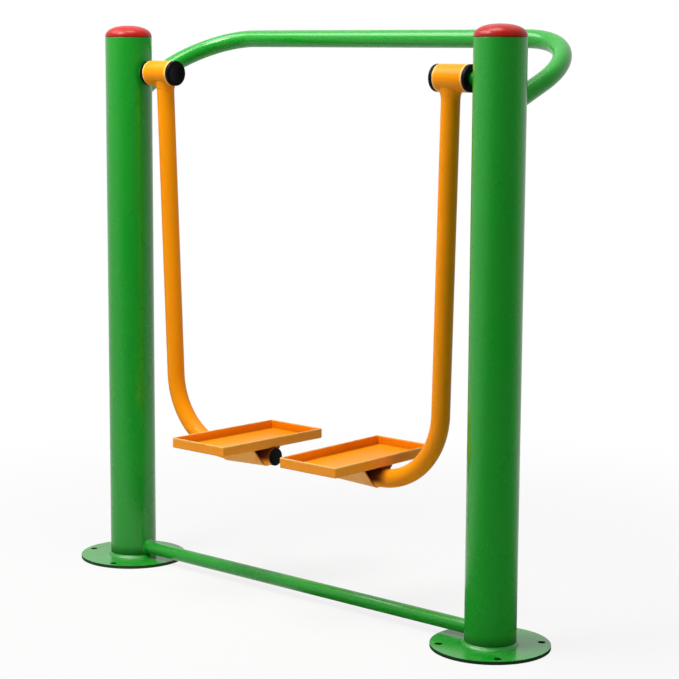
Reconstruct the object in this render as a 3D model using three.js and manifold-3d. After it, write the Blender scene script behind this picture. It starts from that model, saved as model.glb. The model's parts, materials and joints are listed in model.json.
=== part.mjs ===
// Outdoor air walker: two capped posts on bolted base plates, a bent handrail behind them, a tie bar
// between their feet, and two legs that swing freely on ball bearings, each with a tray to stand on.
// Millimetres. +X runs from the left post to the right post, +Y to the rear where the handrail is, +Z up.
// The ground is z = 0, and the origin is the middle of the footprint on the ground.
import * as THREE from "three";
import { mergeVertices } from "three/addons/utils/BufferGeometryUtils.js";
import Module from "manifold-3d";

// Clearances
const SEAT_GAP = 0.3; // between two pieces that bear on each other
const RUN_GAP = 0.5; // between a piece that turns and one that stands still
const CUT_OVERRUN = 20; // how far a cutter runs past what it cuts

// Posts and their base plates
const POST_SPACING = 1140;
const POST_DIAMETER = 114;
const POST_WALL = 3;
const POST_TOP = 1310;
const PLATE_DIAMETER = 264;
const PLATE_THICKNESS = 8;
const BOLT_CIRCLE = 226;
const BOLT_HOLE = 17;
const BOLT_HOLES = 4;
const LEFT_PLATE_TURN = 21; // degrees from +X to the first bolt hole
const RIGHT_PLATE_TURN = 45;
const FOOT_WELD = 7;

// Post caps
const CAP_LIP = 3;
const CAP_DOME = 25;
const CAP_WALL = 2.5;
const CAP_SKIRT = 24;

// Tie bar between the feet
const TIE_DIAMETER = 32;
const TIE_WALL = 2.5;
const TIE_HEIGHT = 32;

// Handrail: a flat U whose arms aim at the post axes, tilted so that its rear run is highest
const TUBE_DIAMETER = 42;
const TUBE_WALL = 3;
const RAIL_RUN_DEPTH = 1; // of the rear run's axis below the top of the posts
const RAIL_ARM_DEPTH = 156; // of the point where the axis of an arm would meet the axis of its post
const RAIL_REACH = 296;
const RAIL_OVERHANG = 55; // of each corner past its post axis
const RAIL_BEND = 171;

// Pivot: a stub axle in each post, two ball bearings, and the hub that turns on them
const PIVOT_DEPTH = 86; // of the pivot axis below the top of the posts
const AXLE_DIAMETER = 30;
const HUB_STANDOFF = 13; // from the post to the seal cap
const HUB_CAP_THICKNESS = 10;
const HUB_CAP_PLUG = 4;
const HUB_CAP_WALL = 2;
const HUB_PLUG_WALL = 4;
const HUB_LENGTH = 80;
const HUB_DIAMETER = 60;
const HUB_SHOULDER = 2; // how far the middle of the hub stands in behind each bearing
const BEARING_BORE = 25;
const BEARING_OUTER = 52;
const BEARING_WIDTH = 15;
const BEARING_RING = 3.8; // radial height of each ring at its shoulder
const BALL_DIAMETER = 7.9;
const BALLS = 9;
const GROOVE_FLOOR_SHARE = 0.25; // half of a groove's flat floor, of the ball's radius
const CAGE_WALL = 1.6;
const CAGE_WIDTH = 9;
const SPACER_WALL = 3;
const END_WASHER_DIAMETER = 31;
const END_WASHER_THICKNESS = 3.5;
const END_BOLT_DIAMETER = 10;
const END_BOLT_LENGTH = 28;
const END_BOLT_FLATS = 17;
const END_BOLT_HEAD = 6.4;

// Legs: from the hub down, in a bend towards the other leg, and level under the tray
const LEG_OFFSET = 9; // of the leg's axis from the middle of its hub, inwards
const LEG_LEAN = 2.27; // degrees, inwards
const LEG_STRAIGHT = 735;
const LEG_BEND = 175;
const LEG_END = 76; // from the middle of the walker to the end of the tube
const LEG_WELD = 6;
const LEG_WELD_DROP = 12;
const LEFT_SWING = 0.2; // degrees to the rear, as the leg hangs at rest
const RIGHT_SWING = 1.25;
const TUBE_PLUG_LIP = 3;
const TUBE_PLUG_DEPTH = 18;
const TUBE_PLUG_WALL = 2;
const TUBE_PLUG_CROWN = 1.2;

// Trays and the saddles that carry them on the leg tubes
const TRAY_LENGTH = 340;
const TRAY_WIDTH = 170;
const TRAY_HEIGHT = 24;
const TRAY_SHEET = 3;
const TRAY_STANDOFF = 3.8; // between a tray and the leg tube under it
const TRAY_SET = 166; // from the middle of the walker to the middle of the tray
const TRAY_SETBACK = 2; // of the middle of the tray behind the leg's axis
const TRAY_TILT = 0.8; // degrees, down to the rear
const SADDLE_LENGTH = 130;
const SADDLE_SHEET = 3;
const SADDLE_SLOPE = 50; // degrees of its sides from level

// Facets
const POST_SIDES = 40;
const RIM_SIDES = 40;
const TUBE_SIDES = 20;
const HUB_SIDES = 24;
const BEARING_SIDES = 18;
const HOLE_SIDES = 12;
const BALL_SIDES = 6;
const BALL_BANDS = 4;
const BEND_STEPS = 8;
const ARC_STEPS = 5;
const WELD_STEPS = 3;
const HEX_SIDES = 6;
const PATTERN_TURN = 360; // degrees
const MERGE_DISTANCE = 1e-4;
const STATION_ROUNDING = 1e-9; // of a station's number

// Colours and finishes
const GREEN = new THREE.MeshStandardMaterial({ color: 0x2f9a3a, roughness: 0.35, metalness: 0 });
const YELLOW = new THREE.MeshStandardMaterial({ color: 0xf09a1c, roughness: 0.4, metalness: 0 });
const RED = new THREE.MeshStandardMaterial({ color: 0xd8322c, roughness: 0.3, metalness: 0 });
const BLACK = new THREE.MeshStandardMaterial({ color: 0x111012, roughness: 0.5, metalness: 0 });
const STEEL = new THREE.MeshStandardMaterial({ color: 0xa8abae, roughness: 0.3, metalness: 1 });
const ZINC = new THREE.MeshStandardMaterial({ color: 0xc2c4c0, roughness: 0.4, metalness: 1 });

// Sizes that follow from those above
const radians = THREE.MathUtils.degToRad;
const postRadius = POST_DIAMETER / 2;
const postBore = postRadius - POST_WALL;
const tubeRadius = TUBE_DIAMETER / 2;
const tubeBore = tubeRadius - TUBE_WALL;
const axleRadius = AXLE_DIAMETER / 2;
const journalRadius = BEARING_BORE / 2;
const hubRadius = HUB_DIAMETER / 2;
const pivotHeight = POST_TOP - PIVOT_DEPTH;
const hubStart = postRadius + HUB_STANDOFF + HUB_CAP_THICKNESS; // along the axle, from the post axis
const hubEnd = hubStart + HUB_LENGTH;
const outerBearingStart = hubStart + HUB_CAP_PLUG + SEAT_GAP;
const innerBearingStart = hubEnd - HUB_CAP_PLUG - SEAT_GAP - BEARING_WIDTH;
const innerBearingEnd = innerBearingStart + BEARING_WIDTH;
const bearingSeat = BEARING_OUTER / 2 + SEAT_GAP;
const ringInner = journalRadius + SEAT_GAP;
const ringOuter = BEARING_OUTER / 2;
const ballPitch = (ringInner + ringOuter) / 2;
const ballRadius = BALL_DIAMETER / 2;
const capPlugRadius = bearingSeat - SEAT_GAP;
const railFront = RAIL_REACH + tubeRadius;
const lean = radians(LEG_LEAN);
const legSet = POST_SPACING / 2 - hubStart - HUB_LENGTH / 2 - LEG_OFFSET; // at the pivot
const legReach = LEG_STRAIGHT + LEG_BEND; // from the pivot axis to the corner of the leg's axis
const cornerSet = legSet - legReach * Math.sin(lean);
const runDrop = legReach * Math.cos(lean) - (cornerSet - TRAY_SET) * Math.tan(lean); // under the tray
const trayDrop = runDrop - tubeRadius - TRAY_STANDOFF - TRAY_HEIGHT / 2; // to the middle of the tray
const leastSwing = radians(Math.min(LEFT_SWING, RIGHT_SWING));
const trayFront = TRAY_LENGTH / 2 - TRAY_SETBACK - trayDrop * Math.sin(leastSwing);
const frameOffset = (trayFront - railFront) / 2; // puts the middle of the footprint at y = 0

const wasm = await Module();
wasm.setup();

// A closed geometry as a solid that can be joined and cut.
function toSolid(geometry) {
  const bare = geometry.clone();
  bare.deleteAttribute("normal");
  bare.deleteAttribute("uv");
  const merged = mergeVertices(bare, MERGE_DISTANCE);
  const corners = Array.from(merged.index.array);
  const faces = [];
  for (let i = 0; i < corners.length; i += 3) {
    const [a, b, c] = corners.slice(i, i + 3);
    if (a !== b && b !== c && c !== a) faces.push(a, b, c);
  }
  const mesh = new wasm.Mesh({
    numProp: 3,
    vertProperties: new Float32Array(merged.attributes.position.array),
    triVerts: new Uint32Array(faces),
  });
  return new wasm.Manifold(mesh);
}

// A solid back as a geometry.
function toGeometry(solid) {
  const mesh = solid.getMesh();
  const geometry = new THREE.BufferGeometry();
  geometry.setAttribute("position", new THREE.BufferAttribute(mesh.vertProperties, 3));
  geometry.setIndex(new THREE.BufferAttribute(mesh.triVerts, 1));
  const facets = geometry.toNonIndexed();
  facets.computeVertexNormals();
  return facets;
}

// A solid of revolution about Z. The profile lists [radius, z] in turn round the section and is closed here.
function revolve(profile, sides) {
  const area = profile.reduce((sum, [r, z], i) => {
    const [nextR, nextZ] = profile[(i + 1) % profile.length];
    return sum + r * nextZ - nextR * z;
  }, 0);
  const ordered = area > 0 ? profile : [...profile].reverse();
  const last = ordered.length - 1;
  const onAxis = ordered.findIndex(([r], i) => r === 0 && ordered[i > 0 ? i - 1 : last][0] === 0);
  const start = Math.max(onAxis, 0);
  const turned = [...ordered.slice(start), ...ordered.slice(0, start)];
  const closed = onAxis >= 0 ? turned : [...turned, turned[0]];
  const points = closed.map(([r, z]) => new THREE.Vector2(r, z));
  return new THREE.LatheGeometry(points, sides).rotateX(Math.PI / 2);
}

// A plain rod about Z between two heights.
function rod(radius, low, high, sides) {
  return revolve([[0, low], [radius, low], [radius, high], [0, high]], sides);
}

// The points of an arc of a section, [radius, z], about a centre, angles in degrees.
function arcPoints(centreR, centreZ, radius, from, to, steps) {
  return Array.from({ length: steps + 1 }, (_, i) => {
    const angle = radians(from + ((to - from) * i) / steps);
    return [centreR + radius * Math.cos(angle), centreZ + radius * Math.sin(angle)];
  });
}

// A path of straight runs and round bends, with a station at each end of a run and along each bend.
class BentPath extends THREE.Curve {
  constructor(corners, bendRadius) {
    super();
    this.stations = [];
    const add = (point, tangent) => this.stations.push({ point, tangent });
    corners.forEach((corner, i) => {
      const before = corners[i - 1];
      const after = corners[i + 1];
      if (!before) {
        add(corner, after.clone().sub(corner).normalize());
        return;
      }
      const arriving = corner.clone().sub(before).normalize();
      if (!after) {
        add(corner, arriving);
        return;
      }
      const leaving = after.clone().sub(corner).normalize();
      const turn = arriving.angleTo(leaving);
      const inwards = leaving.clone().sub(arriving).normalize();
      const centre = corner.clone().addScaledVector(inwards, bendRadius / Math.cos(turn / 2));
      const outwards = inwards.clone().negate();
      const across = arriving.clone().add(leaving).normalize();
      for (let step = 0; step <= BEND_STEPS; step++) {
        const angle = turn * (step / BEND_STEPS - 1 / 2);
        const cosine = Math.cos(angle);
        const sine = Math.sin(angle);
        const radial = outwards.clone().multiplyScalar(cosine).addScaledVector(across, sine);
        const tangent = across.clone().multiplyScalar(cosine).addScaledVector(outwards, -sine);
        add(centre.clone().addScaledVector(radial, bendRadius), tangent);
      }
    });
    this.steps = this.stations.length - 1;
  }

  getUtoTmapping(u) {
    return u;
  }

  getPoint(t, target = new THREE.Vector3()) {
    const at = Math.min(t * this.steps, this.steps);
    const low = Math.min(Math.floor(at + STATION_ROUNDING), this.steps - 1);
    return target.lerpVectors(this.stations[low].point, this.stations[low + 1].point, at - low);
  }

  getTangent(t, target = new THREE.Vector3()) {
    return target.copy(this.stations[Math.round(t * this.steps)].tangent);
  }
}

// A round tube along a path, open at both ends.
function bentTube(path, outer, inner) {
  const ring = new THREE.Shape().absarc(0, 0, outer, 0, 2 * Math.PI);
  ring.holes.push(new THREE.Path().absarc(0, 0, inner, 0, 2 * Math.PI, true));
  return new THREE.ExtrudeGeometry(ring, {
    extrudePath: path,
    steps: path.steps,
    curveSegments: TUBE_SIDES / 2,
    bevelEnabled: false,
  });
}

// side is -1 on the left and 1 on the right. Distances along an axle run from its post axis inwards.
function axial(geometry, side) {
  return geometry.rotateY((-side * Math.PI) / 2).translate((side * POST_SPACING) / 2, 0, 0);
}

function piece(name, geometry, material) {
  const mesh = new THREE.Mesh(geometry, material);
  mesh.name = name;
  return mesh;
}

// A standing cylinder that clears a post and cuts whatever is coped to it.
function postClearance(side) {
  const cutter = rod(postRadius + SEAT_GAP, -CUT_OVERRUN, POST_TOP + CUT_OVERRUN, POST_SIDES);
  return toSolid(cutter.translate((side * POST_SPACING) / 2, 0, 0));
}

function basePlate(side, turn) {
  const weldFoot = postRadius + SEAT_GAP;
  const plateRadius = PLATE_DIAMETER / 2;
  const section = [
    [0, 0],
    [plateRadius, 0],
    [plateRadius, PLATE_THICKNESS],
    ...arcPoints(weldFoot, PLATE_THICKNESS, FOOT_WELD, 0, 90, WELD_STEPS),
    [weldFoot, PLATE_THICKNESS],
    [0, PLATE_THICKNESS],
  ];
  let plate = toSolid(revolve(section, RIM_SIDES));
  for (let hole = 0; hole < BOLT_HOLES; hole++) {
    const angle = radians(turn + (PATTERN_TURN * hole) / BOLT_HOLES);
    const drill = rod(BOLT_HOLE / 2, -CUT_OVERRUN, PLATE_THICKNESS + CUT_OVERRUN, HOLE_SIDES);
    drill.translate((BOLT_CIRCLE / 2) * Math.cos(angle), (BOLT_CIRCLE / 2) * Math.sin(angle), 0);
    plate = plate.subtract(toSolid(drill));
  }
  return toGeometry(plate).translate((side * POST_SPACING) / 2, 0, 0);
}

function post(side) {
  const foot = PLATE_THICKNESS + SEAT_GAP;
  const wall = [[postBore, foot], [postRadius, foot], [postRadius, POST_TOP], [postBore, POST_TOP]];
  const tube = revolve(wall, POST_SIDES);
  tube.translate((side * POST_SPACING) / 2, 0, 0);
  const drill = axial(rod(axleRadius + SEAT_GAP, axleRadius, postRadius + CUT_OVERRUN, HUB_SIDES), side);
  drill.translate(0, 0, pivotHeight);
  return toGeometry(toSolid(tube).subtract(toSolid(drill)));
}

function postCap(side) {
  const seat = POST_TOP + SEAT_GAP;
  const skirtOuter = postBore - SEAT_GAP;
  const skirtInner = skirtOuter - CAP_WALL;
  const domeRadius = (postRadius ** 2 + CAP_DOME ** 2) / (2 * CAP_DOME);
  const centreZ = seat + CAP_LIP + CAP_DOME - domeRadius;
  const outerEdge = THREE.MathUtils.radToDeg(Math.acos(postRadius / domeRadius));
  const innerEdge = THREE.MathUtils.radToDeg(Math.acos(skirtInner / (domeRadius - CAP_WALL)));
  const outerDome = arcPoints(0, centreZ, domeRadius, outerEdge, 90, ARC_STEPS);
  const innerDome = arcPoints(0, centreZ, domeRadius - CAP_WALL, 90, innerEdge, ARC_STEPS);
  outerDome[ARC_STEPS][0] = 0;
  innerDome[0][0] = 0;
  const section = [
    ...outerDome,
    ...innerDome,
    [skirtInner, seat - CAP_SKIRT],
    [skirtOuter, seat - CAP_SKIRT],
    [skirtOuter, seat],
    [postRadius, seat],
  ];
  return revolve(section, POST_SIDES).translate((side * POST_SPACING) / 2, 0, 0);
}

function handrail() {
  const corner = (x, y, z) => new THREE.Vector3(x, y, z);
  const postX = POST_SPACING / 2;
  const cornerX = postX + RAIL_OVERHANG;
  const armHeight = POST_TOP - RAIL_ARM_DEPTH;
  const runHeight = POST_TOP - RAIL_RUN_DEPTH;
  const path = new BentPath(
    [
      corner(-postX, 0, armHeight),
      corner(-cornerX, RAIL_REACH, runHeight),
      corner(cornerX, RAIL_REACH, runHeight),
      corner(postX, 0, armHeight),
    ],
    RAIL_BEND,
  );
  const tube = toSolid(bentTube(path, tubeRadius, tubeBore));
  return toGeometry(tube.subtract(postClearance(-1)).subtract(postClearance(1)));
}

function tieBar() {
  const outer = TIE_DIAMETER / 2;
  const inner = outer - TIE_WALL;
  const half = POST_SPACING / 2;
  const tube = revolve([[inner, -half], [outer, -half], [outer, half], [inner, half]], TUBE_SIDES);
  tube.rotateY(Math.PI / 2).translate(0, 0, TIE_HEIGHT);
  return toGeometry(toSolid(tube).subtract(postClearance(-1)).subtract(postClearance(1)));
}

// The stub axle stands in the wall of its post, reaches the far wall, and steps down for the bearings.
function stubAxle(side) {
  const farWall = Math.sqrt(postBore ** 2 - axleRadius ** 2) - SEAT_GAP;
  const shoulder = outerBearingStart - SEAT_GAP;
  const end = innerBearingEnd - SEAT_GAP;
  const threadRadius = END_BOLT_DIAMETER / 2 + SEAT_GAP;
  const threadEnd = innerBearingEnd + SEAT_GAP + END_WASHER_THICKNESS - END_BOLT_LENGTH - SEAT_GAP;
  const section = [
    [0, -farWall],
    [axleRadius, -farWall],
    [axleRadius, shoulder],
    [journalRadius, shoulder],
    [journalRadius, end],
    [threadRadius, end],
    [threadRadius, threadEnd],
    [0, threadEnd],
  ];
  return axial(revolve(section, HUB_SIDES), side);
}

function bearingInnerRing(side, start) {
  const shoulder = ringInner + BEARING_RING;
  const middle = start + BEARING_WIDTH / 2;
  const groove = ballPitch - ballRadius - SEAT_GAP;
  const floor = ballRadius * GROOVE_FLOOR_SHARE;
  const section = [
    [ringInner, start],
    [shoulder, start],
    [shoulder, middle - ballRadius],
    [groove, middle - floor],
    [groove, middle + floor],
    [shoulder, middle + ballRadius],
    [shoulder, start + BEARING_WIDTH],
    [ringInner, start + BEARING_WIDTH],
  ];
  return axial(revolve(section, BEARING_SIDES), side);
}

function bearingOuterRing(side, start) {
  const shoulder = ringOuter - BEARING_RING;
  const middle = start + BEARING_WIDTH / 2;
  const flats = Math.cos(Math.PI / BEARING_SIDES); // the groove clears the balls at its flats too
  const groove = (ballPitch + ballRadius + SEAT_GAP) / flats;
  const floor = ballRadius * GROOVE_FLOOR_SHARE;
  const section = [
    [ringOuter, start],
    [ringOuter, start + BEARING_WIDTH],
    [shoulder, start + BEARING_WIDTH],
    [shoulder, middle + ballRadius],
    [groove, middle + floor],
    [groove, middle - floor],
    [shoulder, middle - ballRadius],
    [shoulder, start],
  ];
  return axial(revolve(section, BEARING_SIDES), side);
}

// The balls of a bearing, held evenly apart by their cage.
function ballCage(side, start) {
  const middle = start + BEARING_WIDTH / 2;
  const flats = 1 / Math.cos(Math.PI / BALLS); // one flat of the band at each ball
  const low = (ballPitch - CAGE_WALL / 2) * flats;
  const high = (ballPitch + CAGE_WALL / 2) * flats;
  const edge = CAGE_WIDTH / 2;
  const band = [[low, middle - edge], [high, middle - edge], [high, middle + edge], [low, middle + edge]];
  let cage = toSolid(revolve(band, BALLS));
  for (let ball = 0; ball < BALLS; ball++) {
    const angle = radians((PATTERN_TURN * (ball + 1 / 2)) / BALLS);
    const sphere = new THREE.SphereGeometry(ballRadius, BALL_SIDES, BALL_BANDS);
    sphere.translate(ballPitch * Math.cos(angle), ballPitch * Math.sin(angle), middle);
    cage = cage.add(toSolid(sphere));
  }
  return axial(toGeometry(cage), side);
}

function bearingSpacer(side) {
  const inner = journalRadius + SEAT_GAP;
  const outer = inner + SPACER_WALL;
  const start = outerBearingStart + BEARING_WIDTH + SEAT_GAP;
  const end = innerBearingStart - SEAT_GAP;
  return axial(revolve([[inner, start], [outer, start], [outer, end], [inner, end]], BEARING_SIDES), side);
}

function endWasher(side) {
  const bore = END_BOLT_DIAMETER / 2 + SEAT_GAP;
  const start = innerBearingEnd + SEAT_GAP;
  const end = start + END_WASHER_THICKNESS;
  const rim = END_WASHER_DIAMETER / 2;
  return axial(revolve([[bore, start], [rim, start], [rim, end], [bore, end]], BEARING_SIDES), side);
}

function endBolt(side) {
  const seat = innerBearingEnd + SEAT_GAP + END_WASHER_THICKNESS + SEAT_GAP;
  const corner = END_BOLT_FLATS / 2 / Math.cos(Math.PI / HEX_SIDES);
  const head = rod(corner, seat, seat + END_BOLT_HEAD, HEX_SIDES);
  const shank = rod(END_BOLT_DIAMETER / 2, seat - END_BOLT_LENGTH, seat + END_BOLT_HEAD / 2, HOLE_SIDES);
  return axial(toGeometry(toSolid(head).add(toSolid(shank))), side);
}

function hub(side) {
  const middleBore = bearingSeat - HUB_SHOULDER;
  const outerStep = outerBearingStart + BEARING_WIDTH + SEAT_GAP;
  const innerStep = innerBearingStart - SEAT_GAP;
  const section = [
    [hubRadius, hubStart],
    [hubRadius, hubEnd],
    [bearingSeat, hubEnd],
    [bearingSeat, innerStep],
    [middleBore, innerStep],
    [middleBore, outerStep],
    [bearingSeat, outerStep],
    [bearingSeat, hubStart],
  ];
  return axial(revolve(section, HUB_SIDES), side);
}

// The black ring at the post end of a hub, which keeps water out round the axle.
function sealCap(side) {
  const bore = axleRadius + RUN_GAP;
  const face = hubStart - HUB_CAP_THICKNESS;
  const seat = hubStart - SEAT_GAP;
  const plugEnd = hubStart + HUB_CAP_PLUG - SEAT_GAP;
  const section = [
    [bore, face],
    [hubRadius, face],
    [hubRadius, seat],
    [capPlugRadius, seat],
    [capPlugRadius, plugEnd],
    [capPlugRadius - HUB_PLUG_WALL, plugEnd],
    [capPlugRadius - HUB_PLUG_WALL, seat],
    [bore, seat],
  ];
  return axial(revolve(section, HUB_SIDES), side);
}

// The black cap at the free end of a hub, hollow for the bolt head.
function endCap(side) {
  const inside = capPlugRadius - HUB_PLUG_WALL;
  const seat = hubEnd + SEAT_GAP;
  const face = hubEnd + HUB_CAP_THICKNESS;
  const plugStart = hubEnd - HUB_CAP_PLUG + SEAT_GAP;
  const section = [
    [inside, plugStart],
    [capPlugRadius, plugStart],
    [capPlugRadius, seat],
    [hubRadius, seat],
    [hubRadius, face - HUB_CAP_WALL],
    [hubRadius - HUB_CAP_WALL, face],
    [0, face],
    [0, face - HUB_CAP_WALL],
    [inside, face - HUB_CAP_WALL],
  ];
  return axial(revolve(section, HUB_SIDES), side);
}

// The corners of a leg's axis, with z measured from the pivot axis.
function legCorners(side) {
  const down = new THREE.Vector3(-side * Math.sin(lean), 0, -Math.cos(lean));
  const inwards = new THREE.Vector3(-side * Math.cos(lean), 0, Math.sin(lean));
  const top = new THREE.Vector3(side * legSet, 0, 0);
  const bottom = top.clone().addScaledVector(down, legReach);
  const run = (Math.abs(bottom.x) - LEG_END) / Math.cos(lean);
  return { top, bottom, end: bottom.clone().addScaledVector(inwards, run), down, inwards };
}

function legTube(side) {
  const { top, bottom, end, down } = legCorners(side);
  const tube = bentTube(new BentPath([top, bottom, end], LEG_BEND), tubeRadius, tubeBore);
  const hubClear = hubRadius + SEAT_GAP;
  const flareTop = tubeRadius + LEG_WELD;
  const collar = revolve(
    [
      [tubeBore, 0],
      [flareTop, 0],
      [flareTop, hubClear],
      [tubeRadius, hubClear + LEG_WELD_DROP],
      [tubeBore, hubClear + LEG_WELD_DROP],
    ],
    TUBE_SIDES,
  );
  collar.applyQuaternion(new THREE.Quaternion().setFromUnitVectors(new THREE.Vector3(0, 0, 1), down));
  collar.translate(top.x, top.y, top.z);
  const hubSpace = axial(rod(hubClear, hubStart - CUT_OVERRUN, hubEnd + CUT_OVERRUN, HUB_SIDES), side);
  return toGeometry(toSolid(tube).add(toSolid(collar)).subtract(toSolid(hubSpace)));
}

// Turns a solid of revolution about Z onto the level run of a leg, with z = 0 at the end of the tube.
function onLegEnd(geometry, side) {
  const { end, inwards } = legCorners(side);
  geometry.applyQuaternion(new THREE.Quaternion().setFromUnitVectors(new THREE.Vector3(0, 0, 1), inwards));
  return geometry.translate(end.x, end.y, end.z);
}

function tubePlug(side) {
  const barrel = tubeBore - SEAT_GAP;
  const inside = barrel - TUBE_PLUG_WALL;
  const face = SEAT_GAP + TUBE_PLUG_LIP;
  const section = [
    [0, SEAT_GAP],
    [inside, SEAT_GAP],
    [inside, -TUBE_PLUG_DEPTH],
    [barrel, -TUBE_PLUG_DEPTH],
    [barrel, SEAT_GAP],
    [tubeRadius, SEAT_GAP],
    [tubeRadius, face - TUBE_PLUG_CROWN],
    [tubeRadius - TUBE_PLUG_CROWN, face],
    [0, face + TUBE_PLUG_CROWN],
  ];
  return onLegEnd(revolve(section, TUBE_SIDES), side);
}

// Puts a solid drawn about the middle of a tray in the tray's place, measured from the pivot axis.
function atTray(geometry, side) {
  geometry.rotateX(-radians(TRAY_TILT));
  return geometry.translate(side * TRAY_SET, TRAY_SETBACK, -trayDrop);
}

function tray(side) {
  const outer = new THREE.BoxGeometry(TRAY_WIDTH, TRAY_LENGTH, TRAY_HEIGHT);
  const inner = new THREE.BoxGeometry(TRAY_WIDTH - 2 * TRAY_SHEET, TRAY_LENGTH - 2 * TRAY_SHEET, TRAY_HEIGHT);
  inner.translate(0, 0, TRAY_SHEET);
  return atTray(toGeometry(toSolid(outer).subtract(toSolid(inner))), side);
}

// A strap bent round the underside of the leg tube, whose sides slope up to the tray.
function saddle(side) {
  const { bottom, inwards } = legCorners(side);
  const slope = radians(SADDLE_SLOPE);
  const hug = (tubeRadius + SEAT_GAP) / Math.cos(slope / ARC_STEPS); // its flats clear the tube
  const rise = TRAY_HEIGHT + TUBE_DIAMETER;
  const wing = (radius) => {
    const foot = [radius * Math.sin(slope), -radius * Math.cos(slope)];
    return [foot[0] + rise / Math.tan(slope), foot[1] + rise];
  };
  const under = (radius) => arcPoints(0, 0, radius, SADDLE_SLOPE - 90, -90 - SADDLE_SLOPE, ARC_STEPS);
  const outerWing = wing(hug + SADDLE_SHEET);
  const innerWing = wing(hug);
  const outline = [
    outerWing,
    ...under(hug + SADDLE_SHEET),
    [-outerWing[0], outerWing[1]],
    [-innerWing[0], innerWing[1]],
    ...under(hug).reverse(),
    innerWing,
  ];
  const shape = new THREE.Shape(outline.map(([y, z]) => new THREE.Vector2(y, z)));
  const strap = new THREE.ExtrudeGeometry(shape, { depth: SADDLE_LENGTH, bevelEnabled: false, steps: 1 });
  strap.translate(0, 0, -SADDLE_LENGTH / 2).rotateX(Math.PI / 2).rotateZ(Math.PI / 2);
  const along = (Math.abs(bottom.x) - TRAY_SET) / Math.abs(inwards.x);
  strap.rotateY(side * lean);
  const centre = bottom.clone().addScaledVector(inwards, along);
  strap.translate(centre.x, centre.y, centre.z);
  const traySpace = new THREE.BoxGeometry(2 * SADDLE_LENGTH, TRAY_LENGTH, 2 * rise);
  traySpace.translate(0, 0, rise - TRAY_HEIGHT / 2 - SEAT_GAP);
  return toGeometry(toSolid(strap).subtract(toSolid(atTray(traySpace, side))));
}

function fixedPieces(side, word) {
  const turn = side < 0 ? LEFT_PLATE_TURN : RIGHT_PLATE_TURN;
  return [
    piece(`${word}_base_plate`, basePlate(side, turn), GREEN),
    piece(`${word}_post`, post(side), GREEN),
    piece(`${word}_post_cap`, postCap(side), RED),
  ];
}

function axlePieces(side, word) {
  return [
    piece(`${word}_stub_axle`, stubAxle(side), GREEN),
    piece(`${word}_outer_bearing_inner_ring`, bearingInnerRing(side, outerBearingStart), STEEL),
    piece(`${word}_inner_bearing_inner_ring`, bearingInnerRing(side, innerBearingStart), STEEL),
    piece(`${word}_bearing_spacer`, bearingSpacer(side), STEEL),
    piece(`${word}_axle_end_washer`, endWasher(side), ZINC),
    piece(`${word}_axle_end_bolt`, endBolt(side), ZINC),
  ];
}

function cagePieces(side, word) {
  return [
    piece(`${word}_outer_bearing_ball_cage`, ballCage(side, outerBearingStart), STEEL),
    piece(`${word}_inner_bearing_ball_cage`, ballCage(side, innerBearingStart), STEEL),
  ];
}

function legPieces(side, word) {
  return [
    piece(`${word}_hub`, hub(side), YELLOW),
    piece(`${word}_outer_bearing_outer_ring`, bearingOuterRing(side, outerBearingStart), STEEL),
    piece(`${word}_inner_bearing_outer_ring`, bearingOuterRing(side, innerBearingStart), STEEL),
    piece(`${word}_hub_seal_cap`, sealCap(side), BLACK),
    piece(`${word}_hub_end_cap`, endCap(side), BLACK),
    piece(`${word}_leg_tube`, legTube(side), YELLOW),
    piece(`${word}_leg_tube_plug`, tubePlug(side), BLACK),
    piece(`${word}_tray_saddle`, saddle(side), YELLOW),
    piece(`${word}_tray`, tray(side), YELLOW),
  ];
}

// Everything in the plane of the posts is placed from the post axes, and the whole is then moved so
// that the middle of the footprint is the origin.
const airWalker = new THREE.Group();
const standing = new THREE.Group();
standing.position.y = frameOffset;
standing.add(piece("handrail", handrail(), GREEN), piece("tie_bar", tieBar(), GREEN));
airWalker.add(standing);

for (const [side, word, swing] of [[-1, "left", LEFT_SWING], [1, "right", RIGHT_SWING]]) {
  standing.add(...fixedPieces(side, word));
  const axle = new THREE.Group();
  axle.position.set(0, frameOffset, pivotHeight);
  axle.add(...axlePieces(side, word), ...cagePieces(side, word));
  const leg = new THREE.Group();
  leg.position.set(0, frameOffset, pivotHeight);
  leg.rotation.x = radians(swing);
  leg.add(...legPieces(side, word));
  airWalker.add(axle, leg);
}

export default airWalker;
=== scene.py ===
"""The looks of an outdoor air walker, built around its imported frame.

Metres. +X runs from the left post to the right post, +Y to the rear where the handrail is, +Z up.
"""

import json
import logging
import math
from dataclasses import dataclass, field
from enum import Enum
from typing import Callable, Self, Sequence

import bmesh
import bpy
from mathutils import Matrix, Vector

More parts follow.
